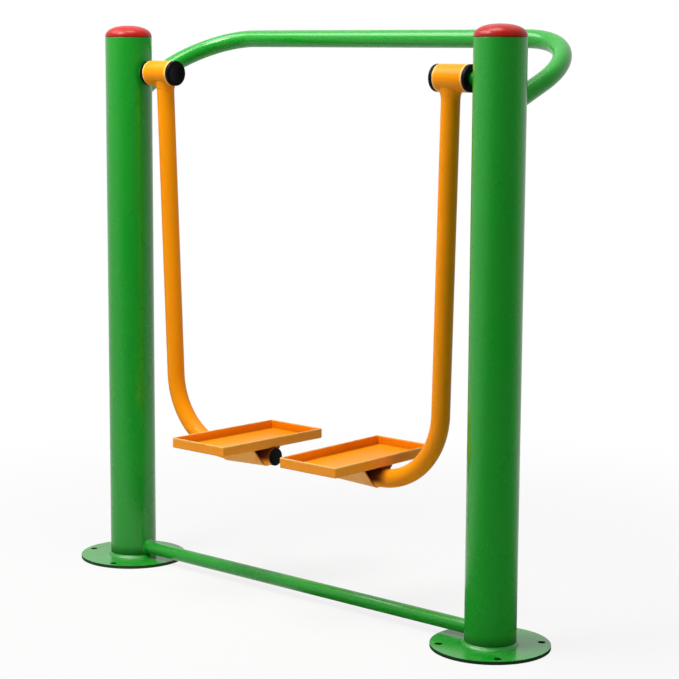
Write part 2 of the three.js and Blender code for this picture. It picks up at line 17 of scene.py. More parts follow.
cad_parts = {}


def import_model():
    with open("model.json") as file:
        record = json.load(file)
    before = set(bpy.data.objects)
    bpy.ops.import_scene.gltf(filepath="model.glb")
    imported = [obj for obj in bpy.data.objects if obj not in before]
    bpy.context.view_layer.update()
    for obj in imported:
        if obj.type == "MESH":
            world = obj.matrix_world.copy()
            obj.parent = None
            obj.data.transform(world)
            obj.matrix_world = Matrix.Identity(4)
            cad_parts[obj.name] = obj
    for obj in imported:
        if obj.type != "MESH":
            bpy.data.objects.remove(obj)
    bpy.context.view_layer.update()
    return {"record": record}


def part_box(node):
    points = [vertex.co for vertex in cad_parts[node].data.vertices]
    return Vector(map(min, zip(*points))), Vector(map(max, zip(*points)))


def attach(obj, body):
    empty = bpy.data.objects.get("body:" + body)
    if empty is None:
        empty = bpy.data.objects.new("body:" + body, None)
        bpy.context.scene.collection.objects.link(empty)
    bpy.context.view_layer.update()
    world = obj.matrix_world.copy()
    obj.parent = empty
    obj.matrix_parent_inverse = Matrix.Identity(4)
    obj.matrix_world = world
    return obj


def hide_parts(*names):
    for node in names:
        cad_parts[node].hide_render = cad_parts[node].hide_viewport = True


Material = bpy.types.Material
Mesh = bpy.types.Mesh
Node = bpy.types.Node
Socket = bpy.types.NodeSocket
Tree = bpy.types.NodeTree
Ring = list[bmesh.types.BMVert]
Span = tuple[float, float]
Value = Socket | float | tuple[float, ...]

LOG = logging.getLogger("air_walker")

SEAT_GAP = 0.0003  # between two pieces that bear on each other
SUPPORT = 0.0002  # from the end of a fillet to the loop that keeps the flat beside it flat
FILLET_STEPS = 4
SMOOTH_ANGLE = math.radians(38)
ON_AXIS = 1e-7
MERGE_DISTANCE = 1e-6
PUDDLE_PITCH = 0.0042  # between the puddles of a weld
PUDDLE_STEPS = 6
PUDDLE_BOW = 1.5  # how far, in steps, a puddle's ends trail its middle
WELD_FACES = 10  # across a weld
WELD_LIFT = 0.00012  # of a weld's toes off the faces that they lie on
WELD_SINK = 0.0006
PUDDLE_LEVEL = 0.6  # the share of a puddle's height that stands at the fillet's own face
DRIFT_SCALE = 70.0  # of a weld's unevenness, to a metre
FLAT_WEIGHT = 100  # of large faces in the normals at their edges
TOUCH = 1e-5  # within which two heights are the same
SEAM_MASK_ROUGHNESS = 0.5  # what full grime and painted shade add to the roughness
WHOLE = (0.0, 1.0)
GREY = (0.5, 0.5, 0.5, 1.0)
UP = Vector((0.0, 0.0, 1.0))


class Side(Enum):
    """Which half of the walker a piece belongs to."""

    LEFT = -1
    RIGHT = 1

    def node(self, name: str) -> str:
        """The name of the frame's node for this side's piece."""
        return f"{self.name.lower()}_{name}"


class Rides(Enum):
    """What a piece moves with."""

    FRAME = "frame"
    LEG = "leg"
    CAGES = "ball_cages"

    def body(self, side: Side) -> str:
        """The name of the body on the given side."""
        return self.value if self is Rides.FRAME else side.node(self.value)


class Slot(Enum):
    """The record's material slots."""

    GREEN = "green_paint"
    YELLOW = "yellow_paint"
    RED = "red_cap"
    BLACK = "black_plastic"
    BEARING = "bearing_steel"
    ZINC = "zinc_steel"


class Effect(Enum):
    """What the finishes share, each a node group."""

    PEEL = "orange_peel"
    MOTTLE = "paint_mottle"
    DUST = "settled_dust"
    # dirt in seams, and painted shade in recesses and at feet
    GRIME = "seam_grime"
    # painted highlights and reflections, and the hubs' pale end bands
    EDGE = "pale_edge"


class Mark(Enum):
    """The values that a mesh carries for its finish."""

    SEAM = "seam"  # holds grime and painted shade
    EDGE = "edge"  # is paler: painted highlights on rims, painted reflection on the trays' walls and straps, the hubs' pale end bands


def linear(code: str) -> tuple[float, float, float, float]:
    """A colour for a shader socket.

    Args:
        code: the colour as six hexadecimal digits, as seen on a screen.

    Returns:
        The same colour in linear light, opaque.
    """
    shares = [int(code[i : i + 2], 16) / 255 for i in (0, 2, 4)]
    parts = [s / 12.92 if s <= 0.04045 else ((s + 0.055) / 1.055) ** 2.4 for s in shares]
    return (*parts, 1.0)


@dataclass
class NodeCanvas:
    """Adds nodes to a tree and joins them."""

    tree: Tree

    def feed(self, node: Node, feeds: dict[str | int, Value]) -> None:
        """Gives a node's inputs their values or the sockets that they follow.

        Args:
            node: the node.
            feeds: what its inputs get, by name or number.
        """
        for key, value in feeds.items():
            if isinstance(value, Socket):
                self.tree.links.new(value, node.inputs[key])
            else:
                node.inputs[key].default_value = value

    def node(self, kind: str, feeds: dict[str | int, Value] | None = None, **settings: object) -> Node:
        """Adds a node.

        Args:
            kind: the node's type.
            feeds: what its inputs get, by name or number.
            settings: attributes of the node to set first.

        Returns:
            The new node.
        """
        node = self.tree.nodes.new(kind)
        for key, value in settings.items():
            setattr(node, key, value)
        self.feed(node, feeds or {})
        return node

    def math(self, operation: str, one: Value, other: Value = 0.0, **settings: object) -> Socket:
        """Combines two values.

        Args:
            operation: the arithmetic, as the Math node names it.
            one: the first value.
            other: the second value.
            settings: attributes of the node to set.

        Returns:
            The result's socket.
        """
        feeds = {0: one, 1: other}
        return self.node("ShaderNodeMath", feeds, operation=operation, **settings).outputs[0]

    def largest(self, first: Value, *others: Value) -> Socket:
        """The largest of some values.

        Args:
            first: the first value.
            others: the other values.

        Returns:
            The result's socket.
        """
        for other in others:
            first = self.math("MAXIMUM", first, other)
        return first

    def ranged(self, source: Socket, span: Span, onto: Span = WHOLE, soft: bool = True) -> Socket:
        """Maps a value from one range onto another, and holds it there.

        Args:
            source: the value.
            span: the range that it comes from.
            onto: the range that it goes to.
            soft: whether it eases in and out.

        Returns:
            The mapped value's socket.
        """
        ends = zip(("From Min", "From Max", "To Min", "To Max"), (*span, *onto))
        kind = "SMOOTHSTEP" if soft else "LINEAR"
        feeds = {"Value": source, **dict(ends)}
        return self.node("ShaderNodeMapRange", feeds, interpolation_type=kind).outputs["Result"]

    def placed(self, tree: Tree, **values: Value) -> Node:
        """Places a node group.

        Args:
            tree: the group.
            values: its inputs by name, with an underscore for each space.

        Returns:
            The group's node.
        """
        feeds = {key.replace("_", " "): value for key, value in values.items()}
        return self.node("ShaderNodeGroup", feeds, node_tree=tree)


@dataclass
class GroupCanvas(NodeCanvas):
    """A tree with inputs of its own."""

    entry: Node = field(init=False)

    def __post_init__(self) -> None:
        """Adds the node that gives the inputs."""
        self.entry = self.node("NodeGroupInput")

    def given(self, name: str) -> Socket:
        """The socket that gives one of the tree's own inputs."""
        return self.entry.outputs[name]


@dataclass
class ShaderGroup(GroupCanvas):
    """A shader node group under construction."""

    @classmethod
    def begun(cls, name: str, **inputs: float | tuple[float, ...]) -> Self:
        """Starts a group.

        Args:
            name: the group's name.
            inputs: its inputs' defaults by name, with an underscore for each space.

        Returns:
            The group with its inputs.
        """
        group = cls(bpy.data.node_groups.new(name, "ShaderNodeTree"))
        for key, default in inputs.items():
            kind = "Float" if isinstance(default, float) else {3: "Vector", 4: "Color"}[len(default)]
            label = key.replace("_", " ")
            socket = group.tree.interface.new_socket(
                label, in_out="INPUT", socket_type=f"NodeSocket{kind}"
            )
            socket.default_value = default
        return group

    def closed(self, **outputs: Socket) -> Tree:
        """Ends the group.

        Args:
            outputs: the sockets whose colours or values it puts out, by name.

        Returns:
            The group's tree.
        """
        for name, source in outputs.items():
            kind = "Color" if source.type == "RGBA" else "Float"
            self.tree.interface.new_socket(name, in_out="OUTPUT", socket_type=f"NodeSocket{kind}")
        self.node("NodeGroupOutput", dict(outputs))
        return self.tree

    def noise(self, scale: Value, detail: float) -> Socket:
        """A noise on object coordinates.

        Args:
            scale: how many features it has to a metre.
            detail: how many finer layers it has.

        Returns:
            The noise's socket.
        """
        place = self.node("ShaderNodeTexCoord").outputs["Object"]
        feeds = {"Vector": place, "Scale": scale, "Detail": detail}
        return self.node("ShaderNodeTexNoise", feeds).outputs["Fac"]

    def blend(self, share: Socket, one: Socket, other: Socket) -> Socket:
        """Mixes two colours.

        Args:
            share: how much of the second colour shows.
            one: the first colour.
            other: the second colour.

        Returns:
            The mixed colour's socket.
        """
        feeds = {"Factor": share, "A": one, "B": other}
        node = self.node("ShaderNodeMix", feeds, data_type="RGBA")
        return next(s for s in node.outputs if s.type == "RGBA")

    @classmethod
    def layer(cls, name: str) -> Self:
        """Starts a group that lays one colour on another, as far as Amount says."""
        return cls.begun(name, Colour=GREY, Layer=GREY, Amount=0.5)

    def laid(self, mask: Socket, breaks: Socket) -> Tree:
        """Ends a group that lays one colour on another.

        Args:
            mask: where the second colour lies.
            breaks: where it is broken up.

        Returns:
            The group's tree, with the outputs Colour and Mask.
        """
        share = self.math("MULTIPLY", self.math("MULTIPLY", mask, breaks), self.given("Amount"))
        colour = self.blend(share, self.given("Colour"), self.given("Layer"))
        return self.closed(Colour=colour, Mask=share)


def orange_peel_group() -> Tree:
    """The faint waves that a powder coat or a moulded skin sets with.

    Returns:
        A group with inputs Waves, Grain and Grain Share, and the output Height.
    """
    group = ShaderGroup.begun(Effect.PEEL.value, Waves=260.0, Grain=1400.0, Grain_Share=0.25)
    fine = group.math("MULTIPLY", group.noise(group.given("Grain"), detail=2.0), group.given("Grain Share"))
    return group.closed(Height=group.math("ADD", group.noise(group.given("Waves"), detail=1.0), fine))


def paint_mottle_group() -> Tree:
    """Slow changes of shade where a coat lies thicker or thinner.

    Returns:
        A group with inputs Coat, Thin, Amount and Patches, and the outputs Colour and Patch.
    """
    group = ShaderGroup.begun(Effect.MOTTLE.value, Coat=GREY, Thin=GREY, Amount=0.5, Patches=9.0)
    cloud = group.noise(group.given("Patches"), detail=4.0)
    patch = group.ranged(cloud, span=(0.28, 0.74))
    share = group.math("MULTIPLY", patch, group.given("Amount"))
    return group.closed(Colour=group.blend(share, group.given("Coat"), group.given("Thin")), Patch=patch)


def settled_dust_group() -> Tree:
    """A thin haze of dust on faces that look up.

    Returns:
        A group with inputs Colour, Layer and Amount, and the outputs Colour and Mask.
    """
    group = ShaderGroup.layer(Effect.DUST.value)
    normal = group.node("ShaderNodeTexCoord").outputs["Normal"]
    parts = group.node("ShaderNodeSeparateXYZ", {"Vector": normal})
    upward = group.ranged(parts.outputs["Z"], span=(0.55, 0.98))
    cloud = group.noise(scale=34.0, detail=5.0)
    return group.laid(upward, breaks=group.ranged(cloud, span=(0.3, 0.75)))


def grime_and_shade_group() -> Tree:
    """Dirt in seams and painted shade, by the seam value that a mesh carries.

    Returns:
        A group with inputs Colour, Layer and Amount, and the outputs Colour and Mask.
    """
    group = ShaderGroup.layer(Effect.GRIME.value)
    seam = group.node("ShaderNodeAttribute", attribute_name=Mark.SEAM.value)
    cloud = group.noise(scale=220.0, detail=4.0)
    return group.laid(seam.outputs["Fac"], breaks=group.ranged(cloud, span=(0.05, 0.42)))


def pale_edge_group() -> Tree:
    """The paler line along an edge, by the edge value that a mesh carries: painted highlights on rims,
    painted reflection of the floor on the trays' walls and the straps, and the hubs' pale end bands.

    Returns:
        A group with inputs Colour, Layer and Amount, and the outputs Colour and Mask.
    """
    group = ShaderGroup.layer(Effect.EDGE.value)
    edge = group.node("ShaderNodeAttribute", attribute_name=Mark.EDGE.value)
    cloud = group.noise(scale=55.0, detail=3.0)
    return group.laid(edge.outputs["Fac"], breaks=group.ranged(cloud, span=(0.2, 0.5)))


def effect_groups() -> dict[Effect, Tree]:
    """Builds the group of every effect once.

    Returns:
        The groups by effect.
    """
    return {
        Effect.PEEL: orange_peel_group(),
        Effect.MOTTLE: paint_mottle_group(),
        Effect.DUST: settled_dust_group(),
        Effect.GRIME: grime_and_shade_group(),
        Effect.EDGE: pale_edge_group(),
    }


@dataclass(frozen=True)
class Layer:
    """A colour that an effect lays on a finish, and how much of it."""

    effect: Effect
    colour: str
    amount: float


@dataclass(frozen=True)
class Peel:
    """The fine waves of a skin."""

    waves: float  # to a metre
    grain: float  # finer ones, to a metre
    grain_share: float
    depth: float


@dataclass(frozen=True)
class Finish:
    """A finish of the walker's steel or plastic."""

    name: str
    body: str
    thin: str  # where it lies thin, or is worn
    mottle: float
    patches: float  # of thinner coat, to a metre
    smooth: float
    dull: float  # the roughness of the thinner patches
    peel: Peel
    layers: tuple[Layer, ...] = ()
    clear: float = 0.0
    clear_roughness: float = 0.08
    gloss: float = 0.5
    metallic: float = 0.0
    dulled: bool = False  # whether grime and painted shade take the gloss off it

    def material(self, groups: dict[Effect, Tree]) -> Material:
        """Makes the finish's material.

        Args:
            groups: the shared node groups.

        Returns:
            The material.
        """
        material = bpy.data.materials.new(self.name)
        material.use_nodes = True
        draft = NodeCanvas(material.node_tree)
        mottle = draft.placed(
            groups[Effect.MOTTLE],
            Coat=linear(self.body),
            Thin=linear(self.thin),
            Amount=self.mottle,
            Patches=self.patches,
        )
        colour = mottle.outputs["Colour"]
        rough = draft.ranged(mottle.outputs["Patch"], WHOLE, (self.smooth, self.dull), soft=False)
        clear: Value = self.clear
        for layer in self.layers:
            look = linear(layer.colour)
            laid = draft.placed(groups[layer.effect], Colour=colour, Layer=look, Amount=layer.amount)
            colour = laid.outputs["Colour"]
            if layer.effect is Effect.GRIME and self.dulled:
                mask = laid.outputs["Mask"]
                seam_roughening = draft.math("MULTIPLY", mask, SEAM_MASK_ROUGHNESS)
                rough = draft.math("ADD", rough, seam_roughening, use_clamp=True)
                clear = draft.ranged(mask, WHOLE, (self.clear, 0.0), soft=False)
        skin = draft.placed(
            groups[Effect.PEEL],
            Waves=self.peel.waves,
            Grain=self.peel.grain,
            Grain_Share=self.peel.grain_share,
        )
        feeds = {"Distance": self.peel.depth, "Height": skin.outputs["Height"]}
        sockets = {
            "Base Color": colour,
            "Roughness": rough,
            "Coat Weight": clear,
            "Coat Roughness": self.clear_roughness,
            "Specular IOR Level": self.gloss,
            "Metallic": self.metallic,
            "Normal": draft.node("ShaderNodeBump", feeds).outputs["Normal"],
        }
        draft.feed(material.node_tree.nodes["Principled BSDF"], sockets)
        return material


POWDER_PEEL = Peel(waves=230.0, grain=1500.0, grain_share=0.2, depth=0.00008)
STEEL_PEEL = Peel(waves=1900.0, grain=5200.0, grain_share=0.7, depth=0.00001)
FINISHES = {
    Slot.GREEN: Finish(
        "green_powder_coat",
        body="0e9c22",
        thin="1a9a20",
        mottle=0.55,
        patches=7.0,
        smooth=0.24,
        dull=0.34,
        peel=POWDER_PEEL,
        layers=(
            # painted highlight along the plates' rounded upper rims
            Layer(Effect.EDGE, "7fc77f", 0.35),
            Layer(Effect.DUST, "8fb48c", 0.12),
            # dirt in weld toes; painted shade at the posts' feet and on the plates' rims and undersides
            Layer(Effect.GRIME, "022606", 0.94),
        ),
        clear=0.4,
        clear_roughness=0.09,
        gloss=0.38,
        dulled=True,
    ),
    Slot.YELLOW: Finish(
        "yellow_powder_coat",
        body="fb9803",
        thin="f59004",
        mottle=0.55,
        patches=7.0,
        smooth=0.3,
        dull=0.42,
        peel=POWDER_PEEL,
        layers=(
            # painted highlight on rims, painted reflection of the floor on the trays' walls and the straps,
            # pale band on the hubs' ends
            Layer(Effect.EDGE, "ffd98e", 0.7),
            Layer(Effect.DUST, "f6cf8c", 0.05),
            # dirt in weld toes, dirt and painted shade in the trays' folds, painted shade on the tubes
            # beside the straps
            Layer(Effect.GRIME, "3c0a02", 0.94),
        ),
        clear=0.03,
        clear_roughness=0.1,
        gloss=0.13,
        dulled=True,
    ),
    Slot.RED: Finish(
        "red_moulded_cap",
        body="b21a12",
        thin="a6221a",
        mottle=0.6,
        patches=26.0,
        smooth=0.26,
        dull=0.34,
        peel=Peel(waves=420.0, grain=2600.0, grain_share=0.5, depth=0.00005),
        # the grime layer is painted shade along the cap's foot
        layers=(Layer(Effect.DUST, "e7a79f", 0.1), Layer(Effect.GRIME, "1c0f0c", 0.8)),
        clear=0.08,
        gloss=0.2,
    ),
    Slot.BLACK: Finish(
        "black_satin_plastic",
        body="050407",
        thin="0a090d",
        mottle=0.6,
        patches=26.0,
        smooth=0.34,
        dull=0.5,
        peel=Peel(waves=420.0, grain=2600.0, grain_share=0.5, depth=0.0001),
        layers=(Layer(Effect.DUST, "4c4a48", 0.03), Layer(Effect.GRIME, "1c0f0c", 0.8)),
        gloss=0.08,
    ),
    Slot.BEARING: Finish(
        "ground_bearing_steel",
        body="b9bcc0",
        thin="8e9196",
        mottle=0.8,
        patches=90.0,
        smooth=0.16,
        dull=0.3,
        peel=STEEL_PEEL,
        metallic=1.0,
    ),
    Slot.ZINC: Finish(
        "zinc_plated_steel",
        body="c9cbc4",
        thin="9ea39c",
        mottle=0.8,
        patches=90.0,
        smooth=0.3,
        dull=0.46,
        peel=STEEL_PEEL,
        metallic=1.0,
    ),
}


@dataclass(frozen=True)
class Corner:
    """One corner of a turned section: its radius, its height along the axis and its fillet."""

    radius: float
    height: float
    fillet: float = 0.0


def filleted(corners: Sequence[Corner]) -> list[Vector]:
    """Rounds the corners of a closed section.

    Args:
        corners: the corners in turn round the section.

    Returns:
        The section's points, each with its radius and height.
    """
    points: list[Vector] = []
    for i, corner in enumerate(corners):
        here = Vector((corner.radius, corner.height))
        if corner.fillet <= 0:
            points.append(here)
            continue
        before = corners[i - 1]
        after = corners[(i + 1) % len(corners)]
        back = (Vector((before.radius, before.height)) - here).normalized()
        on = (Vector((after.radius, after.height)) - here).normalized()
        half = back.angle(on) / 2
        reach = corner.fillet / math.tan(half)
        centre = here + (back + on).normalized() * (corner.fillet / math.sin(half))
        start = here + back * reach - centre
        end = here + on * reach - centre
        turn = start.angle(end)
        points.append(centre + start + back * SUPPORT)
        for step in range(FILLET_STEPS + 1):
            share = step / FILLET_STEPS
            weights = math.sin((1 - share) * turn), math.sin(share * turn)
            points.append(centre + (start * weights[0] + end * weights[1]) / math.sin(turn))
        points.append(centre + end + on * SUPPORT)
    return points


@dataclass
class MeshDraft:
    """A closed mesh under construction, in its own place or in the walker's."""

    bm: bmesh.types.BMesh = field(default_factory=bmesh.new)

    def ring(self, points: Sequence[Vector]) -> Ring:
        """Adds a vertex at each point."""
        return [self.bm.verts.new(point) for point in points]

    def band(self, ring: Ring, following: Ring) -> None:
        """Joins two rings with faces.

        Args:
            ring: the first ring, or a pole.
            following: the next ring, or a pole.
        """
        count = max(len(ring), len(following))
        for i in range(count if count > 1 else 0):
            j = (i + 1) % count
            corners = [ring[i % len(ring)], ring[j % len(ring)]]
            corners += [following[j % len(following)], following[i % len(following)]]
            self.bm.faces.new(dict.fromkeys(corners))

    def turned(self, corners: Sequence[Corner], sides: int, place: Matrix) -> Self:
        """Adds a solid of revolution.

        Args:
            corners: the section, in turn, about the local Z axis.
            sides: how many faces go round.
            place: where the local frame stands.

        Returns:
            This draft.
        """
        angles = [2 * math.pi * i / sides for i in range(sides)]
        rings = []
        for radius, height in filleted(corners):
            spots = [Vector((radius * math.cos(a), radius * math.sin(a), height)) for a in angles]
            if radius < ON_AXIS:
                spots = [UP * height]
            rings.append(self.ring([place @ spot for spot in spots]))
        for ring, following in zip(rings, rings[1:] + rings[:1]):
            self.band(ring, following)
        return self

    def lofted(self, loops: Sequence[Sequence[Vector]]) -> Self:
        """Adds a solid that passes through loops with as many points each, closed at both ends.

        Args:
            loops: the loops in turn.

        Returns:
            This draft.
        """
        rings = [self.ring(loop) for loop in loops]
        for ring, following in zip(rings, rings[1:]):
            self.band(ring, following)
        self.bm.faces.new(rings[0])
        self.bm.faces.new(rings[-1])
        return self

    def joined(self, mesh: Mesh) -> Self:
        """Adds another mesh.

        Args:
            mesh: the mesh, which is then gone.

        Returns:
            This draft.
        """
        self.bm.from_mesh(mesh)
        bpy.data.meshes.remove(mesh)
        return self

    def written(self, name: str) -> Mesh:
        """Ends the draft.

        Args:
            name: the mesh's name.

        Returns:
            The mesh, with every face outwards.
        """
        bmesh.ops.recalc_face_normals(self.bm, faces=self.bm.faces)
        mesh = bpy.data.meshes.new(name)
        self.bm.to_mesh(mesh)
        self.bm.free()
        return mesh

    def finished(self, name: str) -> Mesh:
        """Ends the draft as a surface to be seen.

        Args:
            name: the mesh's name.

        Returns:
            The mesh, without doubles and smooth but for its real edges.
        """
        bmesh.ops.remove_doubles(self.bm, verts=self.bm.verts, dist=MERGE_DISTANCE)
        mesh = self.written(name)
        mesh.shade_smooth()
        mesh.set_sharp_from_angle(angle=SMOOTH_ANGLE)
        return mesh


def mark(mesh: Mesh, kind: Mark, value: Callable[[Vector], float]) -> None:
    """Writes a value on a mesh that its finish follows.

    Args:
        mesh: the mesh.
        kind: what the value means.
        value: gives the value at a place.
    """
    values = [min(max(value(vertex.co), 0.0), 1.0) for vertex in mesh.vertices]
    mesh.attributes.new(kind.value, "FLOAT", "POINT").data.foreach_set("value", values)


def evaluated(name: str, data: Mesh | bpy.types.Curve, dress: Callable[[bpy.types.Object], None]) -> Mesh:
    """Turns data and what is done to its object into a plain mesh.

    Args:
        name: the mesh's name.
        data: the mesh or the curve, which is then gone.
        dress: gives the object its modifiers.

    Returns:
        The plain mesh.
    """
    carrier = bpy.data.objects.new("carrier", data)
    bpy.context.scene.collection.objects.link(carrier)
    dress(carrier)
    graph = bpy.context.evaluated_depsgraph_get()
    made = bpy.data.meshes.new_from_object(carrier.evaluated_get(graph), depsgraph=graph)
    carrier.modifiers.clear()
    bpy.data.objects.remove(carrier)
    store = bpy.data.meshes if isinstance(data, Mesh) else bpy.data.curves
    store.remove(data)
    made.name = name
    return made


def weighted(mesh: Mesh) -> Mesh:
    """Lets large flat faces set the normals at their edges.

    Args:
        mesh: the mesh, which is then gone.

    Returns:
        The same mesh with those normals.
    """

    def dress(carrier: bpy.types.Object) -> None:
        """Adds the modifier that weights the normals.

        Args:
            carrier: the object that carries the mesh.
        """
        modifier = carrier.modifiers.new("weighted", "WEIGHTED_NORMAL")
        modifier.keep_sharp = True
        modifier.weight = FLAT_WEIGHT

    return evaluated(mesh.name, mesh, dress)


@dataclass
class GeometryTree(GroupCanvas):
    """A Geometry Nodes tree with named inputs."""

    inputs: dict[str, str] = field(default_factory=dict)

    @classmethod
    def begun(cls, name: str, **inputs: str) -> Self:
        """Starts a tree.

        Args:
            name: the tree's name.
            inputs: what each of its named inputs holds: Float or Int.

        Returns:
            The tree with its inputs, Geometry and Material among them.
        """
        made = cls(bpy.data.node_groups.new(name, "GeometryNodeTree"))
        sockets = made.tree.interface
        sockets.new_socket("Geometry", in_out="OUTPUT", socket_type="NodeSocketGeometry")
        for key, kind in {"Geometry": "Geometry", **inputs, "Material": "Material"}.items():
            socket = sockets.new_socket(key, in_out="INPUT", socket_type=f"NodeSocket{kind}")
            made.inputs[key] = socket.identifier
        return made

    def attribute(self, name: str, kind: str) -> Socket:
        """The value of a mesh's attribute of a name and a kind."""
        node = self.node("GeometryNodeInputNamedAttribute", {"Name": name}, data_type=kind)
        return node.outputs["Attribute"]

    def closed(self, geometry: Socket) -> Self:
        """Ends the tree in real meshes with their material.

        Args:
            geometry: what the tree has made.

        Returns:
            This tree.
        """
        smooth = self.node("GeometryNodeSetShadeSmooth", {"Geometry": geometry})
        real = self.node("GeometryNodeRealizeInstances", {0: smooth.outputs[0]})
        feeds = {"Geometry": real.outputs[0], "Material": self.given("Material")}
        self.node("NodeGroupOutput", {0: self.node("GeometryNodeSetMaterial", feeds).outputs[0]})
        return self

    def grown(self, holder: Mesh, **values: float | int | Material) -> Mesh:
        """Runs the tree once.

        Args:
            holder: the mesh that it works on, which is then gone.
            values: the named inputs.

        Returns:
            The plain mesh that it makes.
        """

        def dress(carrier: bpy.types.Object) -> None:
            """Adds the tree with its inputs set.

            Args:
                carrier: the object that carries the mesh.
            """
            modifier = carrier.modifiers.new(self.tree.name, "NODES")
            modifier.node_group = self.tree
            for key, value in values.items():
                modifier[self.inputs[key]] = value

        return evaluated(self.tree.name, holder, dress)


def polyline(points: Sequence[Vector]) -> Mesh:
    """A mesh of edges alone, for a tree to follow.

    Args:
        points: the points in turn.

    Returns:
        The mesh.
    """
    mesh = bpy.data.meshes.new("path")
    mesh.from_pydata([tuple(p) for p in points], [(i, i + 1) for i in range(len(points) - 1)], [])
    return mesh


def tube_tree() -> GeometryTree:
    """A round tube with a wall, along a path.

    Returns:
        A tree with inputs Radius, Bore, Sides and Material.
    """
    tree = GeometryTree.begun("tube_along_path", Radius="Float", Bore="Float", Sides="Int")
    path = tree.node("GeometryNodeMeshToCurve", {0: tree.given("Geometry")}).outputs[0]
    both = tree.node("GeometryNodeJoinGeometry")
    for size in ("Radius", "Bore"):
        feeds = {"Resolution": tree.given("Sides"), "Radius": tree.given(size)}
        ring = tree.node("GeometryNodeCurvePrimitiveCircle", feeds).outputs["Curve"]
        feeds = {"Curve": path, "Profile Curve": ring}
        skin = tree.node("GeometryNodeCurveToMesh", feeds).outputs["Mesh"]
        if size == "Bore":
            skin = tree.node("GeometryNodeFlipFaces", {0: skin}).outputs[0]
        tree.feed(both, {0: skin})
    return tree.closed(both.outputs[0])


def weld_tree() -> GeometryTree:
    """The overlapping puddles of a weld, raised on a smooth fillet.

    Returns:
        A tree with inputs Puddles, Ripple, Unevenness, Seed and Material. Its mesh carries how far
        along the weld each point lies, and which way a puddle raises it.
    """
    names = ("Puddles", "Ripple", "Unevenness", "Seed")
    tree = GeometryTree.begun("weld_puddles", **dict.fromkeys(names, "Float"))
    puddles, ripple, uneven, seed = (tree.given(name) for name in names)
    count = tree.math("MULTIPLY", tree.attribute("along", "FLOAT"), puddles)
    puddle = tree.math("ABSOLUTE", tree.math("SINE", tree.math("MULTIPLY", count, math.pi)))
    wave = tree.math("MULTIPLY", tree.math("SUBTRACT", puddle, PUDDLE_LEVEL), ripple)
    feeds = {"Scale": DRIFT_SCALE, "Detail": 2.0, "W": seed}
    drift = tree.node("ShaderNodeTexNoise", feeds, noise_dimensions="4D")
    sway = tree.math("MULTIPLY", tree.math("SUBTRACT", drift.outputs[0], 0.5), uneven)
    feeds = {0: tree.attribute("rise", "FLOAT_VECTOR"), "Scale": tree.math("ADD", wave, sway)}
    offset = tree.node("ShaderNodeVectorMath", feeds, operation="SCALE").outputs[0]
    feeds = {"Geometry": tree.given("Geometry"), "Offset": offset}
    return tree.closed(tree.node("GeometryNodeSetPosition", feeds).outputs["Geometry"])


def ball_tree() -> GeometryTree:
    """The balls of a bearing, evenly round their track, which stands about Z.

    Returns:
        A tree with inputs Balls, Track, Ball and Material.
    """
    tree = GeometryTree.begun("balls_round_track", Balls="Int", Track="Float", Ball="Float")
    feeds = {"Vertices": tree.given("Balls"), "Radius": tree.given("Track")}
    ring = tree.node("GeometryNodeMeshCircle", feeds).outputs[0]
    feeds = {"Subdivisions": 4, "Radius": tree.given("Ball")}
    ball = tree.node("GeometryNodeMeshIcoSphere", feeds).outputs[0]
    return tree.closed(
        tree.node("GeometryNodeInstanceOnPoints", {"Points": ring, "Instance": ball}).outputs[0]
    )


@dataclass(frozen=True)
class Station:
    """One place along a weld: its root in the corner and its toes on the two pieces."""

    root: Vector
    one: Vector
    other: Vector


@dataclass(frozen=True)
class WeldLook:
    """How a weld between two pieces is laid."""

    reach: float  # along the piece that stands on the other
    spread: float  # along the other piece
    hollow: float = 0.7  # 0 is a flat face, 1 the deepest hollow
    ripple: float = 0.0005
    unevenness: float = 0.0009
    toe_grime: float = 0.5

    def puddles(self, radius: float) -> int:
        """How many stations go round a weld of a radius, a whole number of puddles."""
        return max(8, round(2 * math.pi * radius / PUDDLE_PITCH)) * PUDDLE_STEPS

    def fillet(self, stations: Sequence[Station], closed: bool) -> Mesh:
        """Makes the smooth fillet under the puddles.

        Args:
            stations: the places along the weld in turn.
            closed: whether the last joins the first.

        Returns:
            A closed skin that carries along, rise and seam values.
        """
        draft = MeshDraft()
        rings: list[Ring] = []
        along: list[float] = []
        rise: list[float] = []
        seam: list[float] = []
        for i, station in enumerate(stations):
            one = (station.one - station.root).normalized() * WELD_SINK
            other = (station.other - station.root).normalized() * WELD_SINK
            middle = (station.one + station.other) / 2
            pull = station.root.lerp(middle, 1 - self.hollow)
            outwards = (middle - station.root).normalized()
            ring = []
            for step in range(WELD_FACES + 1):
                t = step / WELD_FACES
                mixed = station.one * (1 - t) ** 2 + station.other * t**2
                ring.append(mixed + pull * (2 * t * (1 - t)))
                along.append((i + PUDDLE_BOW * (2 * t - 1) ** 2) / len(stations))
                rise.extend(outwards * (4 * t * (1 - t)))
                seam.append(self.toe_grime if t in WHOLE else 0.0)
            sunk = [station.other - one, station.root - one - other, station.one - other]
            along += [0.0] * len(sunk)
            rise += [0.0] * 3 * len(sunk)
            seam += [self.toe_grime] * len(sunk)
            rings.append(draft.ring(ring + sunk))
        for ring, following in zip(rings, rings[1:] + rings[:1] if closed else rings[1:]):
            draft.band(ring, following)
        if not closed:
            draft.bm.faces.new(rings[0])
            draft.bm.faces.new(rings[-1])
        mesh = draft.written("weld")
        for name, kind, key, values in (
            ("along", "FLOAT", "value", along),
            ("rise", "FLOAT_VECTOR", "vector", rise),
            (Mark.SEAM.value, "FLOAT", "value", seam),
        ):
            mesh.attributes.new(name, kind, "POINT").data.foreach_set(key, values)
        return mesh


